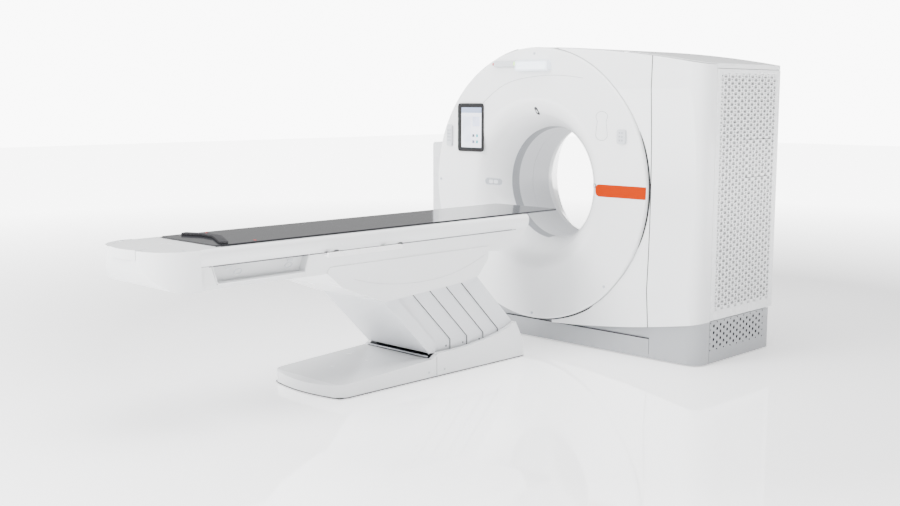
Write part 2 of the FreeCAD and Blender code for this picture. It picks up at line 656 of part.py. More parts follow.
def body_covers():
    """The moulded covers round the disc."""
    wall = S.cover_wall
    gap = S.seam_gap
    low = 60
    high = 1900
    top = S.crown_height
    skin = front_skin(0, low, high) + flipped(front_skin(wall, low, high))
    cover = slab("front_body_cover", "YZ_Plane", [skin], 130, S.corner_seam - gap / 2)
    cut_slab(cover, "disc_room", "XZ_Plane", [[(0, S.bore_height, S.disc_radius + gap)]], -600, -300)
    cut_slab(cover, "cover_hem", "XZ_Plane", [hem_loop(0)], -600, -300)
    cut_slab(cover, "cover_crown", "XZ_Plane", [crown_loop(gap)], -600, -300)
    keep(cover, "front_body_cover")

    def corner_block(name, inset):
        """The corner cover as a filled block, with every wall set in."""
        side = S.right_side - inset
        rear = ahead(S.corner_depth)
        radius = S.corner_rounding - inset
        front = ahead(S.body_front) - S.crease_proud - 40
        seam = S.corner_seam + gap / 2
        outline = front_skin(inset, low, high) + [(rear, high), (rear, low)]
        barrel = slab(name + "_barrel", "YZ_Plane", [outline], seam, side)
        waist = ahead(S.body_front) - S.crease_proud + inset
        plan = [(seam, front), (side - radius, front), (side - radius, waist, -radius),
                (side, waist + radius), (side, rear), (seam, rear)]
        return barrel, slab(name + "_plan", "XY_Plane", [plan], low, high)

    outer = doc.addObject("Part::MultiCommon", "corner_outside")
    outer.Shapes = list(corner_block("corner_outer", 0))
    inner = doc.addObject("Part::MultiCommon", "corner_inside")
    inner.Shapes = list(corner_block("corner_inner", wall))
    hem = slab("corner_hem", "XZ_Plane", [hem_loop(0)], -600, -100)
    crown = slab("corner_crown", "XZ_Plane", [crown_loop(gap)], -600, -100)
    keep(cut("right_corner_cover", outer, [inner, hem, crown]), "right_corner_cover")

    lip = 26
    back = S.body_rear - 2 * wall
    roof_sheet = slab("roof_sheet", "XZ_Plane", [[
        (0, top, S.sweep_radius), (S.right_side, S.shoulder_height), (S.right_side, S.shoulder_height - wall),
        (S.right_side - wall, S.shoulder_height - wall, -S.sweep_radius), (0, top - wall)]], -412, back)
    corner = S.corner_rounding
    roof_plan = slab("roof_plan", "XY_Plane", [[
        (0, -412), (S.right_side - corner, -412, -corner), (S.right_side, corner - 412), (S.right_side, back),
        (0, back)]], 1500, 2000)
    roof = doc.addObject("Part::Common", "roof_trimmed")
    roof.Base = roof_sheet
    roof.Tool = roof_plan
    edge = block("roof_lip", (S.right_side - wall, S.right_side), (S.seam_gap - S.corner_depth, back),
                 (S.shoulder_height - lip, S.shoulder_height - wall / 2))
    roof_skin = fused("roof_skin", [roof, edge])
    shell = S.disc_radius - 5
    wrap = turned("upper_left_skin", washer(shell - wall, shell, -412, back), 163, 72.8)
    keep(grouped("top_cover", [roof_skin, wrap]), "top_cover")

    left = ahead(S.left_side)
    roof = S.left_height
    inner_x = 31 - S.disc_radius
    cover = slab("left_side_cover", "XZ_Plane", [[
        (left, 130), (-300, 130), (-300, 190), (-590, 340), (inner_x, 760), (inner_x, roof),
        (left + 12, roof), (left, roof - 12)]], -380, S.body_rear - 2 * wall)
    cut_slab(cover, "left_room", "XZ_Plane", [[
        (left + wall, 100), (-200, 100), (-200, 760), (-700, roof - wall), (left + 13, roof - wall),
        (left + wall, roof - 13)]], -380 + wall, S.body_rear + 20)
    keep(cover, "left_side_cover")

    inset = 6
    keep(slab("rear_body_panel", "XZ_Plane", [
        [(left + 2, 132), (S.right_side - inset, S.flank_hem_height + 2),
         (S.right_side - inset, S.shoulder_height - inset, -S.sweep_radius),
         (0, top - inset, 12 - S.disc_radius), (40 - S.disc_radius, roof - 2), (left + 2, roof - 2)],
        [(0, S.bore_height, S.rear_disc_radius - 20)]], S.body_rear - 2 * wall, S.body_rear - wall),
        "rear_body_panel")


def vent_centres(columns, rows, start):
    """The staggered (y, z) centres of a field of vent holes."""
    centres = []
    for column in range(columns):
        odd = column % 2
        for row in range(rows - odd):
            centres.append((start[0] + column * S.grille_pitch.number,
                            start[1] + (row + odd / 2) * S.grille_step.number, column, row))
    return centres


def perforated(name, x, outline, holes):
    """A flat sheet across X with round holes: outline is (low y, high y, low z, high z)."""
    low_y, high_y, low_z, high_z = (as_size(value).number for value in outline[0])
    corners = [Vector(x[0], low_y, low_z), Vector(x[0], high_y, low_z), Vector(x[0], high_y, high_z),
               Vector(x[0], low_y, high_z)]
    wires = [Part.makePolygon(corners + corners[:1])]
    if len(outline) > 1:
        inner = [as_size(value).number for value in outline[1]]
        corners = [Vector(x[0], inner[0], inner[2]), Vector(x[0], inner[1], inner[2]),
                   Vector(x[0], inner[1], inner[3]), Vector(x[0], inner[0], inner[3])]
        wires.append(Part.makePolygon(corners + corners[:1]))
    for y, z, radius in holes:
        wires.append(Part.Wire(Part.makeCircle(radius, Vector(x[0], y, z), Vector(1, 0, 0))))
    sheet_part = doc.addObject("Part::Feature", name)
    face = Part.Face(wires, "Part::FaceMakerBullseye")
    sheet_part.Shape = face.extrude(Vector(x[1] - x[0], 0, 0))
    return keep(sheet_part, name)


def side_covers():
    """Right flank: the vented panel, its access door and the door's hinge pin."""
    side = S.right_side.number
    wall = S.cover_wall.number
    panel = (ahead(S.corner_depth) + S.seam_gap, S.body_rear - S.cover_wall, S.flank_hem_height,
             S.shoulder_height - 26 - S.seam_gap)
    door = (46, 300, 1057, 1275)
    gap = S.seam_gap.number
    edge = 16
    centres = vent_centres(17, 34, (-236, 336))
    outside = [(y, z, S.slot_radius.number) for y, z, column, row in centres
               if not (door[0] - edge < y < door[1] + edge and door[2] - edge < z < door[3] + edge)]
    inside = [(y, z, S.slot_radius.number) for y, z, column, row in centres
              if door[0] + edge < y < door[1] - edge and door[2] + edge < z < door[3] - edge]
    hole = (door[0] - gap, door[1] + gap, door[2] - gap, door[3] + gap)
    perforated("right_side_panel", (side - wall, side), [panel, hole], outside)
    perforated("side_access_door", (side - wall, side), [door], inside)


def plinth():
    """Sheet metal skirts between the covers and the floor."""
    front = ahead(S.plinth_front)
    sheet_wall = S.plinth_wall
    low = S.floor_gap
    left = ahead(790)
    top = S.flank_hem_height - 5
    face = block("kick_face", (left, S.corner_seam - 1.5), (front, front + sheet_wall), (low, S.plinth_height))
    fold = block("kick_fold", (left, S.corner_seam - 1.5), (front, front + 22),
                 (S.plinth_height - sheet_wall, S.plinth_height))
    upper = block("upper_panel", (-560, S.corner_seam - 1.5), (front + 12, front + 12 + sheet_wall),
                  (S.plinth_height + 4, top))
    side = S.right_side - 3
    radius = S.corner_rounding - 8
    inner = radius - sheet_wall
    keep(slab("plinth_corner_panel", "XY_Plane", [[
        (S.corner_seam + 1.5, front), (side - radius, front, -radius), (side, front + radius), (side, -286),
        (side - sheet_wall, -286), (side - sheet_wall, front + radius, inner),
        (side - radius, front + sheet_wall), (S.corner_seam + 1.5, front + sheet_wall)]], low, top),
        "plinth_corner_panel")
    columns, rows = 17, 5
    holes = []
    for y, z, column, row in vent_centres(columns, rows, (-275, 83)):
        border = column in (0, columns - 1) or (column % 2 == 0 and row in (0, rows - 1))
        holes.append((y, z, S.vent_radius.number * (0.55 if border else 1)))
    perforated("plinth_side_grille", (S.right_side.number - 6, S.right_side.number - 3),
               [(-283, S.plinth_rear, low, top)], holes)
    rear = block("kick_rear", (left, S.right_side - 7), (S.plinth_rear - sheet_wall, S.plinth_rear),
                 (low, S.plinth_height))
    end = block("kick_left", (left, left + sheet_wall), (front, S.plinth_rear), (low, S.plinth_height))
    keep(grouped("plinth_panels", [fused("kick_panels", [face, fold, rear, end]), upper]), "plinth_panels")


def front_fittings():
    """What is fixed to the face of the round cover."""
    face = ahead(S.disc_front)

    def plate(name, span, heights, radius, proud, sink=0.0):
        """A raised plate with round corners."""
        return slab(name, "XZ_Plane", [rounded(*span, *heights, radius)], face - proud, face - sink)

    keep(plate("tablet", (-644, -421), (1168, 1480), 20, 12), "tablet")
    handsets = [plate("left_handset", (-744, -699), (1200, 1341), 14, 16),
                plate("right_handset", (643, 702), (1250, 1334), 14, 16)]
    keep(grouped("handsets", handsets), "handsets")
    keep(plate("lamp_housing", (-130, 130), (1679, 1742), 14, 35), "lamp_housing")
    lamp = slab("indicator_lamp", "YZ_Plane", [rounded(face - 22, face - 3, 1706, 1744, 8)], -318, -132)
    bracket = block("bar_bracket", (-290, -150), (face - 10, face), (1712, 1736))
    recess = rod("stop_recess", "X", (-320, face - 12.5, 1725), 6, 8)
    keep(cut("indicator_bar", fused("indicator_weldment", [lamp, bracket]), [recess]), "indicator_bar")
    cap = rod("stop_cap", "X", (-330, face - 12.5, 1725), 9, 8)
    stem = rod("stop_stem", "X", (-322, face - 12.5, 1725), 5.9, 6)
    keep(fused("stop_button", [cap, stem]), "stop_button")


# ---------------------------------------------------------------- table base and lift
LINK = (S.link_run * S.link_run + S.link_rise * S.link_rise).root()


def on_link(pivot, along, sideways):
    """A (y, z) spot on a link whose lower pivot is at -pivot: along it and square to it."""
    along = as_size(along)
    sideways = as_size(sideways)
    y = ahead(pivot) + (sideways * S.link_rise - along * S.link_run) / LINK
    z = S.pivot_height + (along * S.link_rise + sideways * S.link_run) / LINK
    return (y, z)


FRONT_ARM = S.blade_pivot
REAR_ARM = S.blade_pivot - 3 * S.blade_pitch
BLADE_PIVOTS = [S.blade_pivot - number * S.blade_pitch for number in range(4)]
STUD = 6
STUD_HOLE = STUD + S.pin_clearance
LAYERS = 5


def layer_face(layer):
    """X of the outer face of a layer of side sheets; the front cover's lugs are layer 0."""
    return S.well_half - 3 - (LAYERS - layer) * S.layer_pitch


def lift_arm(name, pivot):
    """Two bars on two shafts, with a cross tube."""
    bars = [slab(f"{name}_bar_{sign}", "YZ_Plane", [[
        on_link(pivot, -30, -30), on_link(pivot, -30, 30), on_link(pivot, LINK + 30, 30),
        on_link(pivot, LINK + 30, -30)]], *across(sign, 150, 178)) for sign in (-1, 1)]
    shafts = [rod(f"{name}_shaft_{end}", "X", (-200, *on_link(pivot, LINK * end, 0)), S.pin_radius, 400)
              for end in (0, 1)]
    tube = rod(f"{name}_tube", "X", (-150, *on_link(pivot, LINK * 0.5, 0)), 24, 300)
    keep(fused(name, bars + shafts + [tube]), name)


def side_blade(name, pivot, layer):
    """One sloping sheet on each side, in a layer of its own."""
    half = S.blade_pitch * S.link_rise / LINK / 2 + 1.5
    tail_low = S.pivot_height - 30
    kink = 35
    left_kink = on_link(pivot, half + kink * 1.4142, -half)
    right_kink = on_link(pivot, kink * 1.4142 - half, half)
    outline = [on_link(pivot, LINK + 38, -half), left_kink, (left_kink[0], tail_low),
               (right_kink[0], tail_low), right_kink, on_link(pivot, LINK + 38, half)]
    loops = [outline, [(*on_link(pivot, 0, 0), STUD_HOLE)]]
    outer = layer_face(layer)

    def build(part_name, sign):
        return slab(part_name, "YZ_Plane", loops, *across(sign, outer - S.blade_thickness, outer))

    keep(paired(name, build), name)


def slant_cover(name, pivot, low_corner, tail, face_side, free_side):
    """A channel that closes the front or the rear of the column."""
    outer = S.well_half - 3
    wall = S.blade_thickness
    reach = LINK + 30
    outline = [on_link(pivot, reach, face_side), low_corner] + tail + [on_link(pivot, reach, free_side)]
    channel = doc.addObject("PartDesign::Body", name)
    add_slab(channel, name + "_block", "YZ_Plane", [outline], -outer, outer)
    inward = 1 if face_side < 0 else -1
    skin = face_side + inward * 4
    deep = free_side + inward * 60
    room = [on_link(pivot, reach + 40, skin), on_link(pivot, -160, skin), on_link(pivot, -160, deep),
            on_link(pivot, reach + 40, deep)]
    cut_slab(channel, name + "_room", "YZ_Plane", [room], -(outer - wall), outer - wall)
    if inward > 0:
        lug = [on_link(pivot, -14, skin - 2), on_link(pivot, 46, skin - 2), on_link(pivot, 30, 16),
               on_link(pivot, -14, 16)]
        for sign in (-1, 1):
            add_slab(channel, f"{name}_lug_{sign}", "YZ_Plane", [lug],
                     *across(sign, layer_face(0) - wall, layer_face(0)))
    reach_x = 240 if inward > 0 else 300
    cut_slab(channel, f"{name}_stud_hole", "YZ_Plane", [[(*on_link(pivot, 0, 0), STUD_HOLE)]], -reach_x, reach_x)
    keep(channel, name)


def lift_linkage():
    """The parallelogram: two arms, four pairs of side blades and two slant covers."""
    lift_arm("front_lift_arm", FRONT_ARM)
    lift_arm("rear_lift_arm", REAR_ARM)
    for number, pivot in enumerate(BLADE_PIVOTS, start=1):
        side_blade(f"side_blade_{number}", pivot, number)
    front = S.front_pivot
    rear = S.rear_pivot
    corner = on_link(front, 4.3, -30)
    knee = on_link(front, 8.5, 41)
    slant_cover("front_slant_cover", front, corner, [(knee[0], S.pivot_height - 25), knee], -30, 41)
    foot = on_link(rear, 56, 50)
    knee = on_link(rear, 109.6, -53)
    slant_cover("rear_slant_cover", rear, foot,
                [(ahead(rear) - 22, S.pivot_height - 25), (knee[0], S.pivot_height - 25), knee], 50, -53)


def table_base():
    """Floor plate with the pivot brackets, its covers, the lift motor and the controller."""
    plate = block("base_plate", (-230, 230), (-2200, -880), (0, 12))
    parts_list = [plate]
    for sign in (-1, 1):
        for pivot in (FRONT_ARM, REAR_ARM):
            parts_list.append(block(f"bracket_{sign}_{pivot.number:.0f}", across(sign, 182, 196),
                                    (ahead(pivot) - 45, ahead(pivot) + 45), (6, S.pivot_height + 35)))
        rail = [(ahead(S.front_pivot) - 9, S.pivot_height - 16), (ahead(S.front_pivot) + 20, S.pivot_height - 16),
                (ahead(S.front_pivot) + 20, 6), (ahead(S.rear_pivot) + 20, 6),
                (ahead(S.rear_pivot) + 20, S.pivot_height + 22),
                (ahead(S.front_pivot) - 9, S.pivot_height + 22)]
        parts_list.append(slab(f"stud_rail_{sign}", "YZ_Plane", [rail], *across(sign, 221, 230)))
        for number, pivot in enumerate([S.front_pivot] + BLADE_PIVOTS + [S.rear_pivot]):
            low, high = across(sign, 225, layer_face(number))
            parts_list.append(rod(f"stud_{sign}_{number}", "X", (low, ahead(pivot), S.pivot_height), STUD,
                                  as_size(high) - low))
    bores = [rod(f"shaft_bore_{pivot.number:.0f}", "X", (-220, ahead(pivot), S.pivot_height),
                 S.pin_radius + S.pin_clearance, 440) for pivot in (FRONT_ARM, REAR_ARM)]
    anchors = [rod(f"table_anchor_{x}_{y}", "Z", (x, y, -1), S.anchor_hole, 20)
               for x in (-150, 150) for y in (-2150, -950)]
    parts_list.append(block("table_controller", (-120, 120), (-2100, -1760), (12, 58)))
    parts_list.append(rod("lift_motor_case", "Y", (0, -1340, 56), 40, 170))
    parts_list.append(block("lift_gearbox", (-55, 55), (-1180, -1120), (12, 100)))
    parts_list.append(block("lift_motor_foot", (-50, 50), (-1320, -1200), (12, 30)))
    keep(cut("table_base_frame", fused("table_base_weldment", parts_list), bores + anchors),
         "table_base_frame")

    def base_block(name, inset):
        """The base cover as a filled block, with every wall set in."""
        half = S.base_half - inset
        front = ahead(S.base_foot) + inset
        rear = ahead(S.base_head) - inset
        low = 3 if inset == 0 else -20
        side = [(front, low), (front, 58 - inset * 0.8), (front + 40, 72 - inset), (-1606, 104 - inset),
                (-1560, 131 - inset), (-1449, 131 - inset), (-1324, 136 - inset), (-1202, 148 - inset),
                (-1075, 168 - inset), (-1003, 187 - inset), (-923 - inset, 218 - inset * 1.3),
                (rear - 6, 98), (rear, low)]
        corner = S.base_half - 206 - inset
        bow = 25
        plan = [(-half, rear), (-half, front + bow + corner, -corner), (-half + corner, front + bow, -900),
                (half - corner, front + bow, -corner), (half, front + bow + corner), (half, rear)]
        both = doc.addObject("Part::MultiCommon", name)
        both.Shapes = [slab(name + "_side", "YZ_Plane", [side], -half, half),
                       slab(name + "_plan", "XY_Plane", [plan], -30, 300)]
        return both

    wall = 4
    seam = -1572
    gap = S.seam_gap / 2
    for name, keep_from, keep_to in (("base_cover_front", -2600, seam - gap), ("base_cover_rear", seam + gap, -600)):
        outer = base_block(name + "_outside", 0)
        inner = base_block(name + "_inside", wall)
        well = block(name + "_well", (-S.well_half, S.well_half), (-1606, -926), (60, 300))
        shell = cut(name + "_shell", outer, [inner, well])
        half = doc.addObject("Part::Common", name)
        half.Base = shell
        half.Tool = block(name + "_half", (-400, 400), (keep_from, keep_to), (-50, 400))
        keep(half, name)


# ---------------------------------------------------------------- carrier and table top
def carrier():
    """The frame on top of the links and the skirt round it."""
    rise = S.pivot_height + S.link_rise
    run = S.link_run
    top = S.tray_bottom - 2
    pieces = [block("carrier_plate", (-226, 226), (-2250, -1180), (top - 10, top))]
    for sign in (-1, 1):
        for pivot in (FRONT_ARM, REAR_ARM):
            place = ahead(pivot) - run
            pieces.append(block(f"carrier_bracket_{sign}_{pivot.number:.0f}", across(sign, 182, 196),
                                (place - 45, place + 45), (rise - 30, top)))
    bores = [rod("carrier_front_bore", "X", (-220, ahead(FRONT_ARM) - run, rise),
                 S.pin_radius + S.pin_clearance, 440),
             rod("carrier_rear_bore", "X", (-220, ahead(REAR_ARM) - run, rise), S.pin_radius + 1.5, 440)]
    keep(cut("carrier_frame", fused("carrier_weldment", pieces), bores), "carrier_frame")

    half = S.skirt_half + 4.3
    top = S.skirt_top
    outline = [(-1945, 462), (-1373, 498), (-1234, 523), (-1155, 613), (-1150, top), (-2305, top),
               (-2324, 654), (-2230, 572)]
    room = [(-1941, 440), (-1100, 440), (-1100, 800), (-2301, 800), (-2319, 655), (-2226, 575),
            (-1941, 466.5)]
    skirt = slab("carrier_skirt", "YZ_Plane", [outline], -half, half)
    cut_slab(skirt, "skirt_room", "YZ_Plane", [room], -(half - S.cover_wall), half - S.cover_wall)
    cut_slab(skirt, "tray_clearance", "YZ_Plane", [rectangle(-2400, -1100, S.tray_bottom - 0.3, 800)],
             -(S.tray_half + 0.3), S.tray_half + 0.3)
    keep(skirt, "carrier_skirt")


def table_top():
    """Lower body, side rails, foot cover, frame, pockets and accessory rails."""
    half = S.tray_half
    wall = S.cover_wall
    low = S.tray_bottom
    top = S.rail_bottom
    foot = ahead(S.table_foot)
    joint = foot + 234
    body = slab("table_lower_body", "YZ_Plane", [[
        (joint, low), (-1123, low, -260), (-988, low + 9), (-905, low + 32, -170), (-822, top), (joint, top)]],
        -half, half)
    cut_slab(body, "tray_room", "YZ_Plane", [[
        (joint - 20, low + wall), (-1123, low + wall), (-990, low + wall + 9), (-908, low + wall + 33),
        (-830, top + 20), (joint - 20, top + 20)]], -(half - wall), half - wall)
    pocket = [(-3000, top + 30), (-2962, low + 22), (-2455, low + 22), (-2417, top + 30)]
    cut_slab(body, "pocket_opening", "YZ_Plane", [pocket], -400, 400)
    keep(body, "table_lower_body")

    pockets = []
    rails = []
    bars = []
    for side, sign in (("left", -1), ("right", 1)):
        inner = [(-2986, top - 1), (-2959, low + 26), (-2458, low + 26), (-2431, top - 1)]
        room = [(-2982, top + 5), (-2956, low + 30), (-2461, low + 30), (-2435, top + 5)]
        cup = slab(f"{side}_pocket", "YZ_Plane", [inner], *across(sign, half - 48, half))
        cut_slab(cup, f"{side}_pocket_room", "YZ_Plane", [room], *across(sign, half - 44, half + 9))
        pockets.append(cup)
        outer_x = S.rail_half
        inner_x = S.board_half + 2
        section = [(inner_x, top), (outer_x - 22, top, -60), (outer_x, top + 48, -30),
                   (outer_x - 18, S.rail_top), (inner_x, S.rail_top)]
        if sign < 0:
            section = flipped([(-corner[0], corner[1]) + tuple(-value for value in corner[2:])
                               for corner in section])
        rails.append(slab(f"{side}_side_rail", "XZ_Plane", [section], joint, ahead(S.rail_head)))
        bar = slab(f"{side}_accessory_bar", "YZ_Plane", [rounded(-2386, -1901, top - 15, top + 8, 5)],
                   *across(sign, 350, 366))
        spacers = [block(f"{side}_spacer_{place}", across(sign, half, 352), (place - 16, place + 16),
                         (top - 13, top - 1)) for place in (-2330, -1960)]
        bars.append(fused(f"{side}_accessory_rail", [bar] + spacers))
    keep(grouped("side_pockets", pockets), "side_pockets")
    keep(grouped("side_rails", rails), "side_rails")
    keep(grouped("accessory_rails", bars), "accessory_rails")

    def nose(name, inset):
        """The foot cover as a filled block, with every wall set in."""
        tip = foot + inset
        rim = S.rail_half - inset
        side = [(joint, S.rail_top - inset), (tip, S.rail_top - inset, -900), (tip + 30, 740 + inset * 0.5, -150),
                (tip + 130, low + 6 + inset, -600), (joint, low + inset)]
        corner = 190 - inset
        plan = [(-rim, joint), (-rim, tip + 20 + corner, -corner), (-rim + corner, tip + 20, -340),
                (rim - corner, tip + 20, -corner), (rim, tip + 20 + corner), (rim, joint)]
        both = doc.addObject("Part::MultiCommon", name)
        both.Shapes = [slab(name + "_side", "YZ_Plane", [side], -rim, rim),
                       slab(name + "_plan", "XY_Plane", [plan], 600, 900)]
        return both

    mouth = slab("nose_mouth", "XY_Plane", [[
        (-167, foot + 50), (167, foot + 50), (224, foot + 109), (245, joint + 5), (-245, joint + 5),
        (-224, foot + 109)]], 790, 900)
    keep(cut("foot_cover", nose("nose_outside", 0), [nose("nose_inside", 4), mouth]), "foot_cover")

    deck_low = S.rail_top - 7
    end = ahead(S.board_foot) - 3
    deck = slab("foot_deck", "XY_Plane", [[
        (-165, foot + 52), (165, foot + 52), (222, foot + 110), (243, joint), (243, end - 1), (-243, end - 1),
        (-243, joint), (-222, foot + 110)]],
        deck_low, S.rail_top)
    half_lip = 110
    bow = -343.5
    add_slab(deck, "tongue_root", "XY_Plane", [rectangle(-half_lip, half_lip, foot + 55, foot + 75)],
             S.rail_top - 1, S.rail_top + 1)
    add_slab(deck, "tongue", "XY_Plane", [[
        (-half_lip, foot + 16.5, bow), (half_lip, foot + 16.5), (half_lip, foot + 75), (-half_lip, foot + 75)]],
        S.rail_top + 0.3, S.rail_top + 3.5)
    add_slab(deck, "foot_lip", "XY_Plane", [[
        (-half_lip, foot + 16.5, bow), (half_lip, foot + 16.5), (half_lip, foot + 19.7, 340.3),
        (-half_lip, foot + 19.7)]], S.rail_top - 42, S.rail_top + 3.5)
    keep(deck, "foot_deck")

    floor = block("frame_floor", (-240, 240), (joint + 10, -860), (top + 2, top + 8))
    guides = [block(f"guide_{sign}", across(sign, 128, 142), (joint + 10, -860), (top + 8, S.rail_top - 30))
              for sign in (-1, 1)]
    legs = [block(f"frame_rib_{place}", (-200, 200), (place, place + 12), (low + wall, top + 2))
            for place in (-2280, -1900, -1520, -1170)]
    motor = rod("slide_motor_case", "X", (-70, -2620, low + 55), 38, 120)
    box = block("slide_gearbox", (50, 100), (-2665, -2575), (low + 12, top + 3))
    keep(fused("table_frame", [floor] + guides + legs + [motor, box]), "table_frame")


def board():
    """The sliding patient board, its runners and the strap hook."""
    low = S.board_top - S.board_thickness
    half = S.board_half
    foot = ahead(S.board_foot)
    head = ahead(S.board_head)
    top = slab("board_skin", "XY_Plane", [rounded(-half, half, foot, head, 24)], low, S.board_top)
    runners = [block(f"runner_{sign}", across(sign, 96, 126), (foot + 40, -1000), (S.rail_bottom + 10, low))
               for sign in (-1, 1)]
    web = block("runner_web", (-96, 96), (foot + 40, -1000), (low - 12, low))
    keep(fused("patient_board", [top, web] + runners), "patient_board")


# ---------------------------------------------------------------- build, check and write
for build_section in (gantry_frame, main_bearing, rotating_ring, ring_drive, cabinet, round_covers,
                      body_covers, side_covers, plinth, front_fittings, lift_linkage, table_base,
                      carrier, table_top, board):
    build_section()
doc.recompute()

faults = [item.Label for item in doc.Objects if {"Invalid", "Error"} & set(item.State)]
if faults:
    raise RuntimeError(f"failed objects: {faults}")
for sub_part in sub_parts:
    if sub_part.Shape.isNull() or not sub_part.Shape.isValid() or not sub_part.Shape.Solids:
        raise RuntimeError(f"bad shape: {sub_part.Label}")

os.makedirs("parts", exist_ok=True)
for sub_part in sub_parts:
    sub_part.Shape.exportStep(f"parts/{sub_part.Label}.step")
print(len(sub_parts), "sub-parts written")
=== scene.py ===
"""Visual model of a medical ring scanner with its patient table.

Sizes are in metres.  X runs to the vented flank, Y from the table's foot to the
back of the ring, Z up; the bore's axis passes above the origin.
"""
import math

import bmesh
import bpy
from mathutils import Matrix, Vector


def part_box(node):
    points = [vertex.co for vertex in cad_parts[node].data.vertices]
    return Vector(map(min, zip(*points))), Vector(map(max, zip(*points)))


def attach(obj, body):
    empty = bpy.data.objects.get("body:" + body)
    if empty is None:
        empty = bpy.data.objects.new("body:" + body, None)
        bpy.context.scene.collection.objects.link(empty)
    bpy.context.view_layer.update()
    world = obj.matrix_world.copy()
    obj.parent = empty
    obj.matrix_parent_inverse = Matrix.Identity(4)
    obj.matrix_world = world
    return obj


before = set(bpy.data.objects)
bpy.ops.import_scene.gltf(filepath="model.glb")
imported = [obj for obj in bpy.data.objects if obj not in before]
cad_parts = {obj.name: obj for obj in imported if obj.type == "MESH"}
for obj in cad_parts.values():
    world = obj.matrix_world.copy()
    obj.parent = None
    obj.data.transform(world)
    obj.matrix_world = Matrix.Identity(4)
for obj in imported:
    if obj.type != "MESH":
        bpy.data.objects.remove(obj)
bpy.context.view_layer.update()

bl_info = {
    "name": "Ring scanner look",
    "version": (1, 0, 0),
    "blender": (4, 5, 0),
    "location": "View3D > Sidebar > Scanner",
    "description": "Finishes and small pieces for the ring scanner and its table",
    "category": "Object",
}

BORE_HEIGHT = 0.980
DISC_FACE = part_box("front_cover")[0].y
DISC_RADIUS = (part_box("front_cover")[1].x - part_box("front_cover")[0].x) / 2
BOARD_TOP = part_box("patient_board")[1].z
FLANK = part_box("right_side_panel")[1].x
HOLE_PITCH = 0.0363
HOLE_STEP = 0.0394
MOUTH_RADIUS = 0.540    # where the flat of the disc turns into the funnel's lip
LIP_RADIUS = 0.140
RIM_ROUNDING = 0.010


class CoverSettings(bpy.types.PropertyGroup):
    """Colours and sizes of the gantry's covers."""
    shell: bpy.props.FloatVectorProperty(
        name="Shell colour", description="Gloss white of the moulded covers", subtype="COLOR", size=3,
        default=(0.86, 0.87, 0.88), min=0, max=1)
    tunnel: bpy.props.FloatVectorProperty(
        name="Tunnel colour", description="Light grey of the tunnel", subtype="COLOR", size=3,
        default=(0.62, 0.63, 0.65), min=0, max=1)
    plinth: bpy.props.FloatVectorProperty(
        name="Plinth colour", description="Satin silver of the plinth", subtype="COLOR", size=3,
        default=(0.36, 0.37, 0.385), min=0, max=1)
    stripe: bpy.props.FloatVectorProperty(
        name="Stripe colour", description="Orange accent", subtype="COLOR", size=3,
        default=(0.40, 0.028, 0.0), min=0, max=1)
    stripe_low: bpy.props.FloatProperty(
        name="Stripe bottom", description="Height of the accent's lower edge", default=0.935, unit="LENGTH")
    stripe_high: bpy.props.FloatProperty(
        name="Stripe top", description="Height of the accent's upper edge", default=1.008, unit="LENGTH")
    seam: bpy.props.FloatProperty(
        name="Seam thickness", description="Radius of the fine seam lines", default=0.0011, unit="LENGTH")


class TableSettings(bpy.types.PropertyGroup):
    """Colours and sizes of the patient table."""
    body: bpy.props.FloatVectorProperty(
        name="Body colour", description="White of the table covers", subtype="COLOR", size=3,
        default=(0.84, 0.85, 0.86), min=0, max=1)
    # Painted shade: this grey is painted on the side pockets for the shade in their hollows.
    pocket_shade: bpy.props.FloatVectorProperty(
        name="Underside colour", description="Light grey of the lower body", subtype="COLOR", size=3,
        default=(0.74, 0.75, 0.76), min=0, max=1)
    board: bpy.props.FloatVectorProperty(
        name="Board colour", description="Dark laminate of the sliding board", subtype="COLOR", size=3,
        default=(0.022, 0.023, 0.026), min=0, max=1)
    hook_height: bpy.props.FloatProperty(
        name="Hook height", description="Height of the strap hook above the board", default=0.012,
        unit="LENGTH")


class StageSettings(bpy.types.PropertyGroup):
    """Floor, lights and camera."""
    lens: bpy.props.FloatProperty(name="Lens", description="Focal length in millimetres", default=45.22)
    camera_place: bpy.props.FloatVectorProperty(
        name="Camera place", description="Where the camera stands", subtype="TRANSLATION", unit="LENGTH",
        size=3, default=(4.5825, -5.8148, 1.5104))
    heading: bpy.props.FloatProperty(
        name="Heading", description="Turn of the camera from +Y", default=math.radians(44.712),
        subtype="ANGLE", unit="ROTATION")
    pitch: bpy.props.FloatProperty(
        name="Pitch", description="How far the camera looks down", default=math.radians(7.781),
        subtype="ANGLE", unit="ROTATION")


# ------------------------------------------------------------------ finishes
def new_group(name, inputs, outputs):
    """An empty shader group with named sockets."""
    group = bpy.data.node_groups.new(name, "ShaderNodeTree")
    for label, kind, value in inputs:
        socket = group.interface.new_socket(name=label, in_out="INPUT", socket_type=kind)
        socket.default_value = value
    for label, kind in outputs:
        group.interface.new_socket(name=label, in_out="OUTPUT", socket_type=kind)
    entry = group.nodes.new("NodeGroupInput")
    leave = group.nodes.new("NodeGroupOutput")
    return group, entry, leave


def add_node(tree, kind, **settings):
    """A node with its settings; a key such as in_Scale sets that input's value."""
    node = tree.nodes.new(kind)
    for key, value in settings.items():
        if key.startswith("in_"):
            node.inputs[key[3:].replace("_", " ")].default_value = value
        else:
            setattr(node, key, value)
    return node


def maths(tree, operation, first, second=None, third=None, clamp=False):
    """A Math node whose inputs are sockets or numbers."""
    node = tree.nodes.new("ShaderNodeMath")
    node.operation = operation
    node.use_clamp = clamp
    for index, value in enumerate((first, second, third)):
        if value is None:
            continue
        if hasattr(value, "is_output"):
            tree.links.new(value, node.inputs[index])
        else:
            node.inputs[index].default_value = value
    return node.outputs[0]


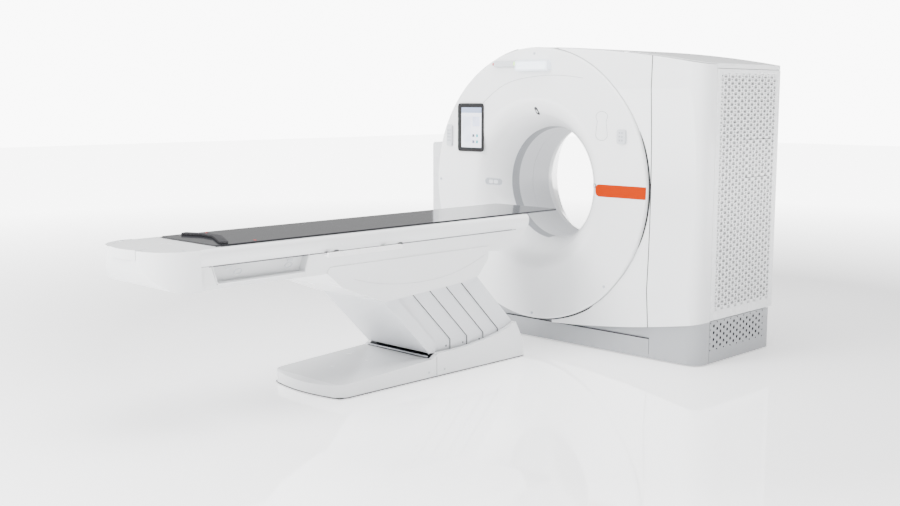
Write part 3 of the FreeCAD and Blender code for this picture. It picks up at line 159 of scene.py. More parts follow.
def finish_group():
    """Colour variation, handling marks and fine grain, shared by every finish."""
    group, entry, leave = new_group(
        "surface_finish",
        [("Colour", "NodeSocketColor", (0.8, 0.8, 0.8, 1)), ("Variation", "NodeSocketFloat", 0.04),
         ("Roughness", "NodeSocketFloat", 0.3), ("Marks", "NodeSocketFloat", 0.08),
         ("Grain size", "NodeSocketFloat", 900.0), ("Grain depth", "NodeSocketFloat", 0.05)],
        [("Colour", "NodeSocketColor"), ("Roughness", "NodeSocketFloat"), ("Normal", "NodeSocketVector")])
    place = add_node(group, "ShaderNodeTexCoord")
    broad = add_node(group, "ShaderNodeTexNoise", in_Scale=2.3, in_Detail=3.0, in_Roughness=0.55)
    smear = add_node(group, "ShaderNodeTexNoise", in_Scale=14.0, in_Detail=5.0, in_Roughness=0.65)
    grain = add_node(group, "ShaderNodeTexNoise", in_Detail=2.0)
    for node in (broad, smear, grain):
        group.links.new(place.outputs["Object"], node.inputs["Vector"])
    group.links.new(entry.outputs["Grain size"], grain.inputs["Scale"])
    centred = maths(group, "SUBTRACT", broad.outputs["Fac"], 0.5)
    shade = maths(group, "MULTIPLY_ADD", centred, entry.outputs["Variation"], 1.0)
    tinted = add_node(group, "ShaderNodeVectorMath", operation="SCALE")
    group.links.new(entry.outputs["Colour"], tinted.inputs[0])
    group.links.new(shade, tinted.inputs["Scale"])
    group.links.new(tinted.outputs[0], leave.inputs["Colour"])
    mark = maths(group, "SUBTRACT", smear.outputs["Fac"], 0.5)
    rough = maths(group, "MULTIPLY_ADD", mark, entry.outputs["Marks"], entry.outputs["Roughness"], clamp=True)
    group.links.new(rough, leave.inputs["Roughness"])
    bump = add_node(group, "ShaderNodeBump", in_Distance=0.0004)
    group.links.new(entry.outputs["Grain depth"], bump.inputs["Strength"])
    group.links.new(grain.outputs["Fac"], bump.inputs["Height"])
    group.links.new(bump.outputs["Normal"], leave.inputs["Normal"])
    return group


def finish(name, colour, roughness, metallic=0.0, coat=0.0, variation=0.05, marks=0.08, grain=900.0,
           depth=0.05, emission=0.0):
    """A material on the shared finish group."""
    material = bpy.data.materials.new(name)
    material.use_nodes = True
    tree = material.node_tree
    shader = tree.nodes["Principled BSDF"]
    shader.inputs["Metallic"].default_value = metallic
    shader.inputs["Coat Weight"].default_value = coat
    shader.inputs["Coat Roughness"].default_value = 0.06
    surface = tree.nodes.new("ShaderNodeGroup")
    surface.node_tree = bpy.data.node_groups.get("surface_finish") or finish_group()
    surface.inputs["Colour"].default_value = (*colour, 1)
    surface.inputs["Variation"].default_value = variation
    surface.inputs["Roughness"].default_value = roughness
    surface.inputs["Marks"].default_value = marks
    surface.inputs["Grain size"].default_value = grain
    surface.inputs["Grain depth"].default_value = depth
    tree.links.new(surface.outputs["Colour"], shader.inputs["Base Color"])
    tree.links.new(surface.outputs["Roughness"], shader.inputs["Roughness"])
    tree.links.new(surface.outputs["Normal"], shader.inputs["Normal"])
    if emission:
        tree.links.new(surface.outputs["Colour"], shader.inputs["Emission Color"])
        shader.inputs["Emission Strength"].default_value = emission
    return material


def axis_socket(tree, axis):
    """One of the object's coordinates."""
    place = tree.nodes.new("ShaderNodeTexCoord")
    split = tree.nodes.new("ShaderNodeSeparateXYZ")
    tree.links.new(place.outputs["Object"], split.inputs[0])
    return split.outputs[axis]


def between(tree, value, low, high, soft):
    """1 between low and high, falling to 0 over soft."""
    rise = maths(tree, "DIVIDE", maths(tree, "SUBTRACT", value, low), soft, clamp=True)
    fall = maths(tree, "DIVIDE", maths(tree, "SUBTRACT", high, value), soft, clamp=True)
    return maths(tree, "MULTIPLY", rise, fall)


def vented_finish(name, colour, origin, field):
    """Gloss white with shallow scooped diamonds between the vent holes of a staggered field, their colour
    darkened as painted shade.
    """
    material = finish(name, colour, 0.27, coat=0.25)
    tree = material.node_tree
    shader = tree.nodes["Principled BSDF"]
    y = axis_socket(tree, "Y")
    z = axis_socket(tree, "Z")
    turn_y = maths(tree, "MULTIPLY", maths(tree, "SUBTRACT", y, origin[0]), math.pi / HOLE_PITCH)
    turn_z = maths(tree, "MULTIPLY", maths(tree, "SUBTRACT", z, origin[1]), 2 * math.pi / HOLE_STEP)
    wave = maths(tree, "MULTIPLY", maths(tree, "COSINE", turn_y), maths(tree, "COSINE", turn_z))
    scoop = maths(tree, "MINIMUM", wave, 0.0)
    mask = maths(tree, "MULTIPLY", between(tree, y, field[0], field[1], 0.03),
                 between(tree, z, field[2], field[3], 0.03))
    height = maths(tree, "MULTIPLY", scoop, mask)
    bump = add_node(tree, "ShaderNodeBump", in_Distance=0.014, in_Strength=1.0)
    tree.links.new(height, bump.inputs["Height"])
    surface = next(node for node in tree.nodes if node.type == "GROUP")
    tree.links.new(surface.outputs["Normal"], bump.inputs["Normal"])
    tree.links.new(bump.outputs["Normal"], shader.inputs["Normal"])
    # Painted shade: the scooped diamonds' colour is darkened where their hollows fall into shade.
    shade = maths(tree, "MULTIPLY_ADD", height, 0.78, 1.0)
    tinted = add_node(tree, "ShaderNodeVectorMath", operation="SCALE")
    tree.links.new(surface.outputs["Colour"], tinted.inputs[0])
    tree.links.new(shade, tinted.inputs["Scale"])
    tree.links.new(tinted.outputs[0], shader.inputs["Base Color"])
    return material


def screen_finish():
    """Lavender screen with a blue-grey header and a few generic fields."""
    material = finish("screen_glow", (0.80, 0.82, 0.92), 0.12, coat=0.4, emission=0.55, depth=0.0)
    tree = material.node_tree
    shader = tree.nodes["Principled BSDF"]
    x = axis_socket(tree, "X")
    z = axis_socket(tree, "Z")
    surface = next(node for node in tree.nodes if node.type == "GROUP")
    colour = surface.outputs["Colour"]
    teal = (0.03, 0.33, 0.36)
    fields = [((-0.620, -0.420, 1.418, 1.460), (0.30, 0.36, 0.52)),
              ((-0.600, -0.525, 1.230, 1.395), (0.66, 0.70, 0.84)),
              ((-0.512, -0.445, 1.330, 1.395), (0.55, 0.60, 0.78)),
              ((-0.512, -0.492, 1.262, 1.282), (0.03, 0.04, 0.06)),
              ((-0.480, -0.460, 1.262, 1.282), teal),
              ((-0.512, -0.492, 1.222, 1.242), (0.10, 0.12, 0.20)),
              ((-0.480, -0.460, 1.222, 1.242), teal)]
    for (low_x, high_x, low_z, high_z), tone in fields:
        mask = maths(tree, "MULTIPLY", between(tree, x, low_x, high_x, 0.001),
                     between(tree, z, low_z, high_z, 0.001))
        mix = add_node(tree, "ShaderNodeMix", data_type="RGBA")
        tree.links.new(mask, mix.inputs["Factor"])
        tree.links.new(colour, mix.inputs[6])
        mix.inputs[7].default_value = (*tone, 1)
        colour = mix.outputs[2]
    tree.links.new(colour, shader.inputs["Base Color"])
    tree.links.new(colour, shader.inputs["Emission Color"])
    return material


def brushed_finish(name, colour, stretch):
    """Metal with fine streaks along one axis."""
    material = finish(name, colour, 0.30, metallic=1.0, depth=0.0)
    tree = material.node_tree
    shader = tree.nodes["Principled BSDF"]
    place = tree.nodes.new("ShaderNodeTexCoord")
    scale = add_node(tree, "ShaderNodeMapping")
    scale.inputs["Scale"].default_value = stretch
    streak = add_node(tree, "ShaderNodeTexNoise", in_Scale=60.0, in_Detail=4.0)
    tree.links.new(place.outputs["Object"], scale.inputs["Vector"])
    tree.links.new(scale.outputs["Vector"], streak.inputs["Vector"])
    bump = add_node(tree, "ShaderNodeBump", in_Distance=0.0003, in_Strength=0.25)
    tree.links.new(streak.outputs["Fac"], bump.inputs["Height"])
    tree.links.new(bump.outputs["Normal"], shader.inputs["Normal"])
    return material


# ------------------------------------------------------------------ modelling by hand
def start_fresh():
    """Nothing selected and object mode."""
    if bpy.context.mode != "OBJECT":
        bpy.ops.object.mode_set(mode="OBJECT")
    bpy.ops.object.select_all(action="DESELECT")


def mount(piece, name, material, body, sharp=35):
    """Names a piece, puts its place into its mesh, finishes it and lets it ride."""
    piece.name = name
    start_fresh()
    piece.select_set(True)
    bpy.context.view_layer.objects.active = piece
    bpy.ops.object.transform_apply(location=True, rotation=True, scale=True)
    bpy.ops.object.shade_smooth_by_angle(angle=math.radians(sharp))
    piece.data.materials.clear()
    piece.data.materials.append(material)
    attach(piece, body)
    return piece


def soft_block(low, high, axis, corner, edge, segments=6):
    """A block whose edges along one axis are rounded, then all its outline softened."""
    start_fresh()
    middle = (Vector(low) + Vector(high)) / 2
    bpy.ops.mesh.primitive_cube_add(size=1, location=middle)
    block = bpy.context.object
    block.scale = Vector(high) - Vector(low)
    bpy.ops.object.transform_apply(location=True, rotation=True, scale=True)
    if corner:
        bpy.ops.object.mode_set(mode="EDIT")
        bpy.ops.mesh.select_mode(type="EDGE")
        bpy.ops.mesh.select_all(action="DESELECT")
        mesh = bmesh.from_edit_mesh(block.data)
        for side in mesh.edges:
            run = (side.verts[1].co - side.verts[0].co).normalized()
            side.select_set(abs(run[axis]) > 0.9)
        bmesh.update_edit_mesh(block.data)
        bpy.ops.mesh.bevel(offset=corner, segments=segments, affect="EDGES")
        bpy.ops.object.mode_set(mode="OBJECT")
    if edge:
        soften(block, edge)
    return block


def soften(piece, width, angle=40):
    """Rounds a piece's sharp edges with an applied Bevel."""
    start_fresh()
    piece.select_set(True)
    bpy.context.view_layer.objects.active = piece
    bevel = piece.modifiers.new("edge", "BEVEL")
    bevel.width = width
    bevel.segments = 2
    bevel.limit_method = "ANGLE"
    bevel.angle_limit = math.radians(angle)
    bpy.ops.object.modifier_apply(modifier=bevel.name)


def drawn(points, closed=True, kind="POLY"):
    """A curve through the points, made as a curve object."""
    start_fresh()
    bpy.ops.curve.primitive_bezier_curve_add(location=(0, 0, 0))
    curve = bpy.context.object
    curve.data.splines.clear()
    spline = curve.data.splines.new(kind)
    spline.points.add(len(points) - 1)
    for point, place in zip(spline.points, points):
        point.co = (*place, 0, 1) if len(place) == 2 else (*place, 1)
    spline.use_cyclic_u = closed
    if kind == "NURBS":
        spline.order_u = 4
        spline.use_endpoint_u = not closed
        spline.resolution_u = 8
    return curve


def cut_sheet(outline, thickness, facing, lift, edge=0.0):
    """A flat sheet with the given outline; facing is front (u=X, v=Z), side (u=Y, v=Z) or top (u=X, v=Y)."""
    curve = drawn(outline)
    curve.data.dimensions = "2D"
    curve.data.fill_mode = "BOTH"
    curve.data.extrude = thickness / 2
    bpy.ops.object.convert(target="MESH")
    sheet = bpy.context.object
    if facing == "front":
        sheet.rotation_euler = (math.pi / 2, 0, 0)
        sheet.location = (0, lift, 0)
    elif facing == "side":
        sheet.rotation_euler = (math.pi / 2, 0, math.pi / 2)
        sheet.location = (lift, 0, 0)
    else:
        sheet.location = (0, 0, lift)
    bpy.ops.object.transform_apply(location=True, rotation=True, scale=True)
    bpy.ops.object.mode_set(mode="EDIT")
    bpy.ops.mesh.select_all(action="SELECT")
    bpy.ops.mesh.remove_doubles(threshold=0.00002)
    bpy.ops.mesh.normals_make_consistent(inside=False)
    bpy.ops.object.mode_set(mode="OBJECT")
    if edge:
        soften(sheet, edge, 50)
    return sheet


def bead(points, radius, closed=False, kind="NURBS"):
    """A thin round line through the points."""
    curve = drawn(points, closed, kind)
    curve.data.dimensions = "3D"
    curve.data.bevel_depth = radius
    curve.data.bevel_resolution = 1
    curve.data.use_fill_caps = True
    bpy.ops.object.convert(target="MESH")
    return bpy.context.object


def screw_head(place, radius, proud, facing, socket=True):
    """A domed screw cap with a recess, made from a disc."""
    start_fresh()
    turns = {"front": (math.pi / 2, 0, 0), "side": (0, math.pi / 2, 0), "top": (0, 0, 0)}
    bpy.ops.mesh.primitive_circle_add(vertices=28, radius=radius, fill_type="NGON", location=place,
                                      rotation=turns[facing])
    cap = bpy.context.object
    bpy.ops.object.transform_apply(location=False, rotation=False, scale=True)
    bpy.ops.object.mode_set(mode="EDIT")
    bpy.ops.mesh.select_all(action="SELECT")
    bpy.ops.mesh.extrude_region_move(TRANSFORM_OT_translate={"value": (0, 0, proud), "orient_type": "LOCAL"})
    bpy.ops.mesh.inset(thickness=radius * 0.22, depth=proud * 0.3)
    bpy.ops.mesh.inset(thickness=radius * 0.3, depth=0)
    if socket:
        bpy.ops.mesh.inset(thickness=radius * 0.05, depth=-proud * 0.7)
    bpy.ops.object.mode_set(mode="OBJECT")
    return cap


def join(pieces):
    """Joins pieces into the first."""
    start_fresh()
    for piece in pieces:
        piece.select_set(True)
    bpy.context.view_layer.objects.active = pieces[0]
    bpy.ops.object.join()
    return bpy.context.object


def dress(material, *nodes):
    """Gives CAD nodes a finish."""
    for name in nodes:
        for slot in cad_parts[name].material_slots:
            slot.material = material


def pill(low_u, high_u, low_v, high_v, steps=12):
    """A band's outline with half-round ends."""
    radius = (high_v - low_v) / 2
    middle = (high_v + low_v) / 2
    outline = []
    for step in range(steps + 1):
        turn = math.pi / 2 + math.pi * step / steps
        outline.append((low_u + radius + radius * math.cos(turn), middle + radius * math.sin(turn)))
    for step in range(steps + 1):
        turn = -math.pi / 2 + math.pi * step / steps
        outline.append((high_u - radius + radius * math.cos(turn), middle + radius * math.sin(turn)))
    return outline


def fall_back(radius, reach):
    """How far a rounding lies behind the flat, a reach past its start."""
    return radius - math.sqrt(max(0.0, radius ** 2 - reach ** 2))


def flank_block(sign, near, far, low, high, axis, corner, edge):
    """A soft block on one side of the table; low and high are its Y and Z."""
    inner, outer = sorted((sign * near, sign * far))
    return soft_block((inner, *low), (outer, *high), axis, corner, edge)


def hull_of(points):
    """The convex outline round sorted points, counter-clockwise."""
    hull = []
    for chain in (points, points[::-1]):
        start = len(hull)
        for point in chain:
            while len(hull) > start + 1:
                (x0, y0), (x1, y1) = hull[-2:]
                if (x1 - x0) * (point[1] - y0) - (y1 - y0) * (point[0] - x0) > 0:
                    break
                hull.pop()
            hull.append(point)
        hull.pop()
    return hull


# ------------------------------------------------------------------ operators
class SCANNER_OT_finishes(bpy.types.Operator):
    """Give every CAD node its finish"""
    bl_idname = "scanner.finishes"
    bl_label = "Finishes"

    def execute(self, context):
        covers = context.scene.scanner_covers
        table = context.scene.scanner_table
        shell = finish("cover_white", covers.shell, 0.24, coat=0.35, variation=0.03, grain=700, depth=0.03)
        dress(shell, "front_cover", "rear_cover", "front_body_cover", "right_corner_cover", "top_cover",
              "rear_body_panel")
        dress(finish("cover_grey", (0.66, 0.67, 0.69), 0.28, coat=0.25), "left_side_cover")
        dress(vented_finish("vent_white", covers.shell, (-0.236, 0.336), (-0.25, 0.37, 0.30, 1.66)),
              "right_side_panel", "side_access_door")
        dress(finish("tunnel_satin", covers.tunnel, 0.38, variation=0.05), "tunnel_liner")
        plinth = finish("plinth_silver", covers.plinth, 0.30, metallic=0.6, variation=0.06, grain=1400,
                        depth=0.12)
        dress(plinth, "plinth_panels", "plinth_corner_panel", "plinth_side_grille")
        structure = finish("structure_paint", (0.10, 0.11, 0.12), 0.45, variation=0.10, grain=500, depth=0.15)
        dress(structure, "gantry_base_frame", "stator_frame", "table_base_frame", "carrier_frame",
              "table_frame", "front_lift_arm", "rear_lift_arm")
        dress(brushed_finish("bearing_ground", (0.60, 0.61, 0.63), (1, 40, 1)), "bearing_outer_race",
              "bearing_inner_race", "bearing_balls", "motor_pulley")
        dress(finish("cast_alloy", (0.55, 0.56, 0.58), 0.42, metallic=1.0, grain=350, depth=0.3),
              "rotor_drum", "tube_cooler")
        dress(brushed_finish("contact_brass", (0.70, 0.50, 0.22), (1, 30, 1)), "slip_ring")
        dress(finish("carbon_black", (0.03, 0.03, 0.035), 0.5, grain=500, depth=0.2), "brush_block")
        dress(finish("case_grey", (0.30, 0.33, 0.37), 0.40, variation=0.08, grain=800, depth=0.2),
              "hv_generators", "detector_arc", "equipment_rack", "fan_tray", "drive_motor")
        dress(brushed_finish("tube_steel", (0.50, 0.51, 0.53), (1, 1, 30)), "x_ray_tube")
        dress(finish("cast_weight", (0.09, 0.09, 0.10), 0.62, metallic=0.6, grain=250, depth=0.5),
              "collimator", "counterweights")
        dress(finish("belt_rubber", (0.02, 0.02, 0.02), 0.7, grain=300, depth=0.4), "drive_belt")
        dress(finish("fan_black", (0.03, 0.03, 0.03), 0.45), "fan_wheel_1", "fan_wheel_2")
        dress(finish("bezel_black", (0.004, 0.004, 0.005), 0.60), "tablet")
        dress(finish("handset_grey", (0.60, 0.62, 0.65), 0.35), "handsets", "indicator_bar")
        dress(finish("lamp_white", (0.78, 0.84, 0.92), 0.12, coat=0.5, emission=0.5), "lamp_housing")
        dress(finish("button_red", (0.62, 0.02, 0.015), 0.25, coat=0.4), "stop_button")
        white = finish("table_white", table.body, 0.26, coat=0.30, variation=0.03, grain=700, depth=0.03)
        dress(white, "base_cover_front", "base_cover_rear", "carrier_skirt", "foot_cover", "foot_deck",
              "side_rails", "table_lower_body")
        # Painted shade: the side pockets are painted grey for the shade in their hollows.
        dress(finish("table_grey", table.pocket_shade, 0.40, variation=0.04, grain=1100, depth=0.10),
              "side_pockets")
        dress(finish("blade_satin", (0.74, 0.755, 0.78), 0.34, variation=0.04, grain=1200, depth=0.06),
              "side_blade_1", "side_blade_2", "side_blade_3", "side_blade_4", "front_slant_cover",
              "rear_slant_cover")
        dress(finish("rail_white", (0.90, 0.90, 0.91), 0.28), "accessory_rails")
        dress(finish("board_laminate", table.board, 0.12, coat=0.15, variation=0.10, grain=900, depth=0.02),
              "patient_board")
        return {"FINISHED"}


class SCANNER_OT_front_details(bpy.types.Operator):
    """Add the accent, windows, screws and fittings on the front of the ring"""
    bl_idname = "scanner.front_details"
    bl_label = "Front details"

    def execute(self, context):
        covers = context.scene.scanner_covers
        face = DISC_FACE
        accent = finish("accent_orange", covers.stripe, 0.50, variation=0.03)
        accent.node_tree.nodes["Principled BSDF"].inputs["Specular IOR Level"].default_value = 0.0
        # Painted shadow for the gaps at the disc's rim and at the corner cover.
        dark = finish("gap_shadow_dark", (0.02, 0.02, 0.022), 0.8, depth=0.0)
        # Painted shade for the crease across the ring and the dock's outline.
        soft_line = finish("line_painted_shade", (0.26, 0.27, 0.29), 0.5, depth=0.0)
        grey = finish("fitting_grey", (0.50, 0.53, 0.58), 0.35)

        low, high = covers.stripe_low, covers.stripe_high
        start_fresh()
        bpy.ops.mesh.primitive_grid_add(x_subdivisions=90, y_subdivisions=12, size=1)
        stripe = bpy.context.object
        middle = (low + high) / 2
        half = (high - low) / 2
        for vertex in stripe.data.vertices:
            along = vertex.co.x + 0.5
            across = vertex.co.y * 2
            z = middle + half * across
            rise = z - BORE_HEIGHT
            start = 0.470 + half * (1 - math.sqrt(max(0.0, 1 - across ** 2)))
            end = math.sqrt((DISC_RADIUS - 0.0006) ** 2 - rise ** 2)
            x = start + (end - start) * along
            reach = math.hypot(x, rise)
            back = 0.0
            if reach < MOUTH_RADIUS:
                back = fall_back(LIP_RADIUS, MOUTH_RADIUS - reach)
            elif reach > DISC_RADIUS - RIM_ROUNDING:
                back = fall_back(RIM_ROUNDING, reach - DISC_RADIUS + RIM_ROUNDING)
            vertex.co = (x, face + back - 0.0009, z)
        start_fresh()
        stripe.select_set(True)
        bpy.context.view_layer.objects.active = stripe
        skin = stripe.modifiers.new("skin", "SOLIDIFY")
        skin.thickness = 0.0008
        skin.offset = -1
        bpy.ops.object.modifier_apply(modifier=skin.name)
        bpy.ops.object.mode_set(mode="EDIT")
        bpy.ops.mesh.select_all(action="SELECT")
        bpy.ops.mesh.normals_make_consistent(inside=False)
        bpy.ops.object.mode_set(mode="OBJECT")
        mount(stripe, "accent_stripe", accent, "floor_body")

        glass = finish("window_glass", (0.34, 0.36, 0.39), 0.25)
        window = cut_sheet(pill(-0.402, -0.262, 0.962, 1.001), 0.003, "front", face - 0.001, 0.0008)
        mount(window, "status_window", glass, "floor_body")
        panes = [soft_block((x - 0.017, face - 0.0032, 0.970), (x + 0.017, face - 0.0024, 0.993), 1, 0.006, 0)
                 for x in (-0.353, -0.311)]
        mount(join(panes), "status_panes", finish("pane_pale", (0.62, 0.64, 0.68), 0.2), "floor_body")
        outline = [(x, face - 0.001, z) for x, z in pill(-0.405, -0.259, 0.959, 1.004)]
        rim = bead(outline, 0.0016, True, "POLY")
        mount(rim, "status_window_rim", grey, "floor_body")

        # Painted shadow: a dark ring fills the gap round the disc's rim.
        circle = []
        for step in range(137):
            turn = math.radians(101 + 2.49 * step)
            circle.append((0.8475 * math.cos(turn), face + 0.0335, BORE_HEIGHT + 0.8475 * math.sin(turn)))
        mount(bead(circle, 0.0052, False, "POLY"), "disc_shadow_seam", dark, "floor_body")
        # Painted shadow: a dark strip along the corner cover's front edge, in the gap beside the disc.
        edge = {}
        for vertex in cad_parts["front_body_cover"].data.vertices:
            x, y, z = vertex.co
            if 0.8490 < x < 0.8535 and y < -0.30:
                key = round(z, 2)
                edge[key] = min(edge.get(key, (y, z)), (y, z))
        places = [edge[key] for key in sorted(edge)]
        if len(places) > 3:
            strip = bead([(0.854, y + 0.0010, z) for y, z in places], 0.0034, False, "POLY")
            mount(strip, "corner_seam", dark, "floor_body")

        caps = [screw_head((x, face, z), 0.008, 0.003, "front")
                for x, z in ((0, 1.785), (0, 0.168), (-0.811, 0.977), (0.560, 0.400), (-0.560, 0.400))]
        mount(join(caps), "cover_screws", grey, "floor_body")

        # Painted shade: a grey line along the crease across the ring's upper face.
        swoosh = [(-0.428, 1.482), (-0.345, 1.548), (-0.256, 1.595), (-0.175, 1.620), (-0.089, 1.636),
                  (0.010, 1.646), (0.111, 1.652), (0.250, 1.650), (0.380, 1.630)]
        crease = bead([(x, face + 0.0002, z) for x, z in swoosh], 0.0012)
        mount(crease, "ring_crease", soft_line, "floor_body")

        # Painted shadow: a grey line round the dock's outline.
        side = []
        for step in range(13):
            turn = math.pi * step / 12
            side.append((0.5225 + 0.0425 * math.cos(turn), 1.404 + 0.032 * math.sin(turn)))
        waist = [(0.490, 1.377), (0.480, 1.300)]
        lower = []
        for step in range(13):
            turn = math.pi + math.pi * step / 12
            lower.append((0.5225 + 0.0425 * math.cos(turn), 1.298 + 0.032 * math.sin(turn)))
        outline = side + waist[:1] + lower + [(0.555, 1.377)]
        dock = bead([(x, face + 0.0001, z) for x, z in outline], 0.0013, True, "POLY")
        mount(dock, "dock_outline", soft_line, "floor_body")

        screen = soft_block((-0.610, face - 0.0128, 1.195), (-0.433, face - 0.0118, 1.453), 1, 0.004, 0.0003)
        mount(screen, "tablet_screen", screen_finish(), "floor_body")

        keys = []
        for centre, rows in (((-0.7215, 1.270), 4), ((0.6725, 1.292), 3)):
            for row in range(rows):
                for column in (-1, 1):
                    place = (centre[0] + column * 0.009, face - 0.016,
                             centre[1] + (row - (rows - 1) / 2) * 0.022)
                    keys.append(screw_head(place, 0.0055, 0.0018, "front", socket=False))
        mount(join(keys), "handset_keys", finish("key_grey", (0.40, 0.42, 0.46), 0.4), "floor_body")

        lens = soft_block((-0.118, face - 0.0365, 1.688), (0.118, face - 0.033, 1.733), 1, 0.012, 0.001)
        mount(lens, "lamp_lens", finish("lamp_glow", (0.84, 0.92, 1.0), 0.10, coat=0.3, emission=1.2),
              "floor_body")
        led = soft_block((-0.150, face - 0.0235, 1.714), (-0.136, face - 0.0215, 1.736), 1, 0.004, 0.0006)
        mount(led, "ready_light", finish("led_green", (0.45, 0.95, 0.10), 0.2, emission=1.5), "floor_body")
        ring = []
        for step in range(24):
            turn = 2 * math.pi * step / 24
            ring.append((-0.3185, face - 0.0125 + 0.0098 * math.cos(turn), 1.725 + 0.0098 * math.sin(turn)))
        mount(bead(ring, 0.0011, True, "POLY"), "stop_ring", finish("ring_red", (0.6, 0.02, 0.02), 0.3),
              "floor_body")
        return {"FINISHED"}


class SCANNER_OT_bore_details(bpy.types.Operator):
    """Add the trim band and the alignment windows inside the funnel"""
    bl_idname = "scanner.bore_details"
    bl_label = "Bore details"

    def execute(self, context):
        start_fresh()
        reach = 0.684
        profile = []
        for step in range(9):
            y = -0.245 + 0.063 * step / 8
            radius = reach - math.sqrt(0.334 ** 2 - (y + 0.180) ** 2) - 0.0004
            profile.append((radius, y))
        inner = [(radius - 0.0012, y) for radius, y in reversed(profile)]
        turn = math.radians(-28)
        outline = [(math.cos(turn) * r, y, BORE_HEIGHT + math.sin(-turn) * r) for r, y in profile + inner]
        bpy.ops.mesh.primitive_circle_add(vertices=len(outline), radius=0.1, fill_type="NOTHING")
        band = bpy.context.object
        for vertex, place in zip(band.data.vertices, outline):
            vertex.co = place
        bpy.ops.object.mode_set(mode="EDIT")
        bpy.ops.mesh.select_all(action="SELECT")
        bpy.ops.mesh.spin(steps=96, angle=math.radians(236), center=(0, 0, BORE_HEIGHT), axis=(0, 1, 0))
        bpy.ops.mesh.select_all(action="SELECT")
        bpy.ops.mesh.remove_doubles(threshold=0.00001)
        bpy.ops.mesh.select_all(action="DESELECT")
        bpy.ops.mesh.select_non_manifold()
        bpy.ops.mesh.edge_face_add()
        bpy.ops.mesh.select_all(action="SELECT")
        bpy.ops.mesh.normals_make_consistent(inside=False)
        bpy.ops.object.mode_set(mode="OBJECT")
        trim = finish("trim_grey", (0.30, 0.31, 0.33), 0.42, variation=0.05)
        mount(band, "bore_trim", trim, "floor_body")
        glass = finish("laser_glass", (0.02, 0.02, 0.025), 0.25)
        windows = []
        for degrees in (90, 2):
            angle = math.radians(degrees)
            pane = soft_block((-0.012, -0.030, -0.0015), (0.012, 0.030, 0.0015), 2, 0.0115, 0)
            bpy.ops.object.mode_set(mode="EDIT")
            bpy.ops.mesh.select_all(action="SELECT")
            bpy.ops.mesh.subdivide(number_cuts=5)
            bpy.ops.object.mode_set(mode="OBJECT")
            for vertex in pane.data.vertices:
                x, y, z = vertex.co
                bend = math.radians(52) - y / LIP_RADIUS
                lift = LIP_RADIUS + 0.0005 + z
                reach = MOUTH_RADIUS - lift * math.cos(bend)
                vertex.co = (reach * math.cos(angle) - x * math.sin(angle),
                             DISC_FACE + LIP_RADIUS - lift * math.sin(bend),
                             BORE_HEIGHT + reach * math.sin(angle) + x * math.cos(angle))
            windows.append(pane)
        mount(join(windows), "alignment_windows", glass, "floor_body")
        return {"FINISHED"}


class SCANNER_OT_flank_details(bpy.types.Operator):
    """Add dark backings behind the vents as painted shade, the door's notch painted dark as shade, a painted
    shadow in the plinth's gap and the sheet at the rear of the plinth
    """
    bl_idname = "scanner.flank_details"
    bl_label = "Flank details"

    def execute(self, context):
        dark = finish("flank_painted_shade", (0.05, 0.05, 0.055), 0.7, depth=0.0)
        # Painted shade: dark sheets behind the vent holes and the low grille stand in for the shade inside.
        backing = soft_block((FLANK - 0.009, -0.270, 0.300), (FLANK - 0.006, 0.380, 1.665), 0, 0.004, 0)
        mount(backing, "vent_shadow_backing", dark, "floor_body")
        low = soft_block((FLANK - 0.014, -0.278, 0.010), (FLANK - 0.012, 0.362, 0.246), 0, 0.004, 0)
        mount(low, "grille_shadow_backing", dark, "floor_body")
        # Painted shade: the door's notch is painted dark for the shade in it.
        notch = soft_block((FLANK - 0.0012, 0.165, 1.262), (FLANK - 0.0001, 0.185, 1.275), 0, 0.004, 0.0002)
        mount(notch, "door_notch", dark, "door")
        # Painted shadow: a dark band in the plinth's recess.
        band = soft_block((-0.755, -0.3995, 0.1175), (0.850, -0.394, 0.1215), 0, 0, 0.0004)
        mount(band, "plinth_gap_shadow", dark, "floor_body")
        sheet = soft_block((-0.750, 0.3720, 0.100), (1.170, 0.3750, 0.270), 1, 0, 0.0006)
        mount(sheet, "rear_kick_sheet", bpy.data.materials["plinth_silver"], "floor_body")
        return {"FINISHED"}


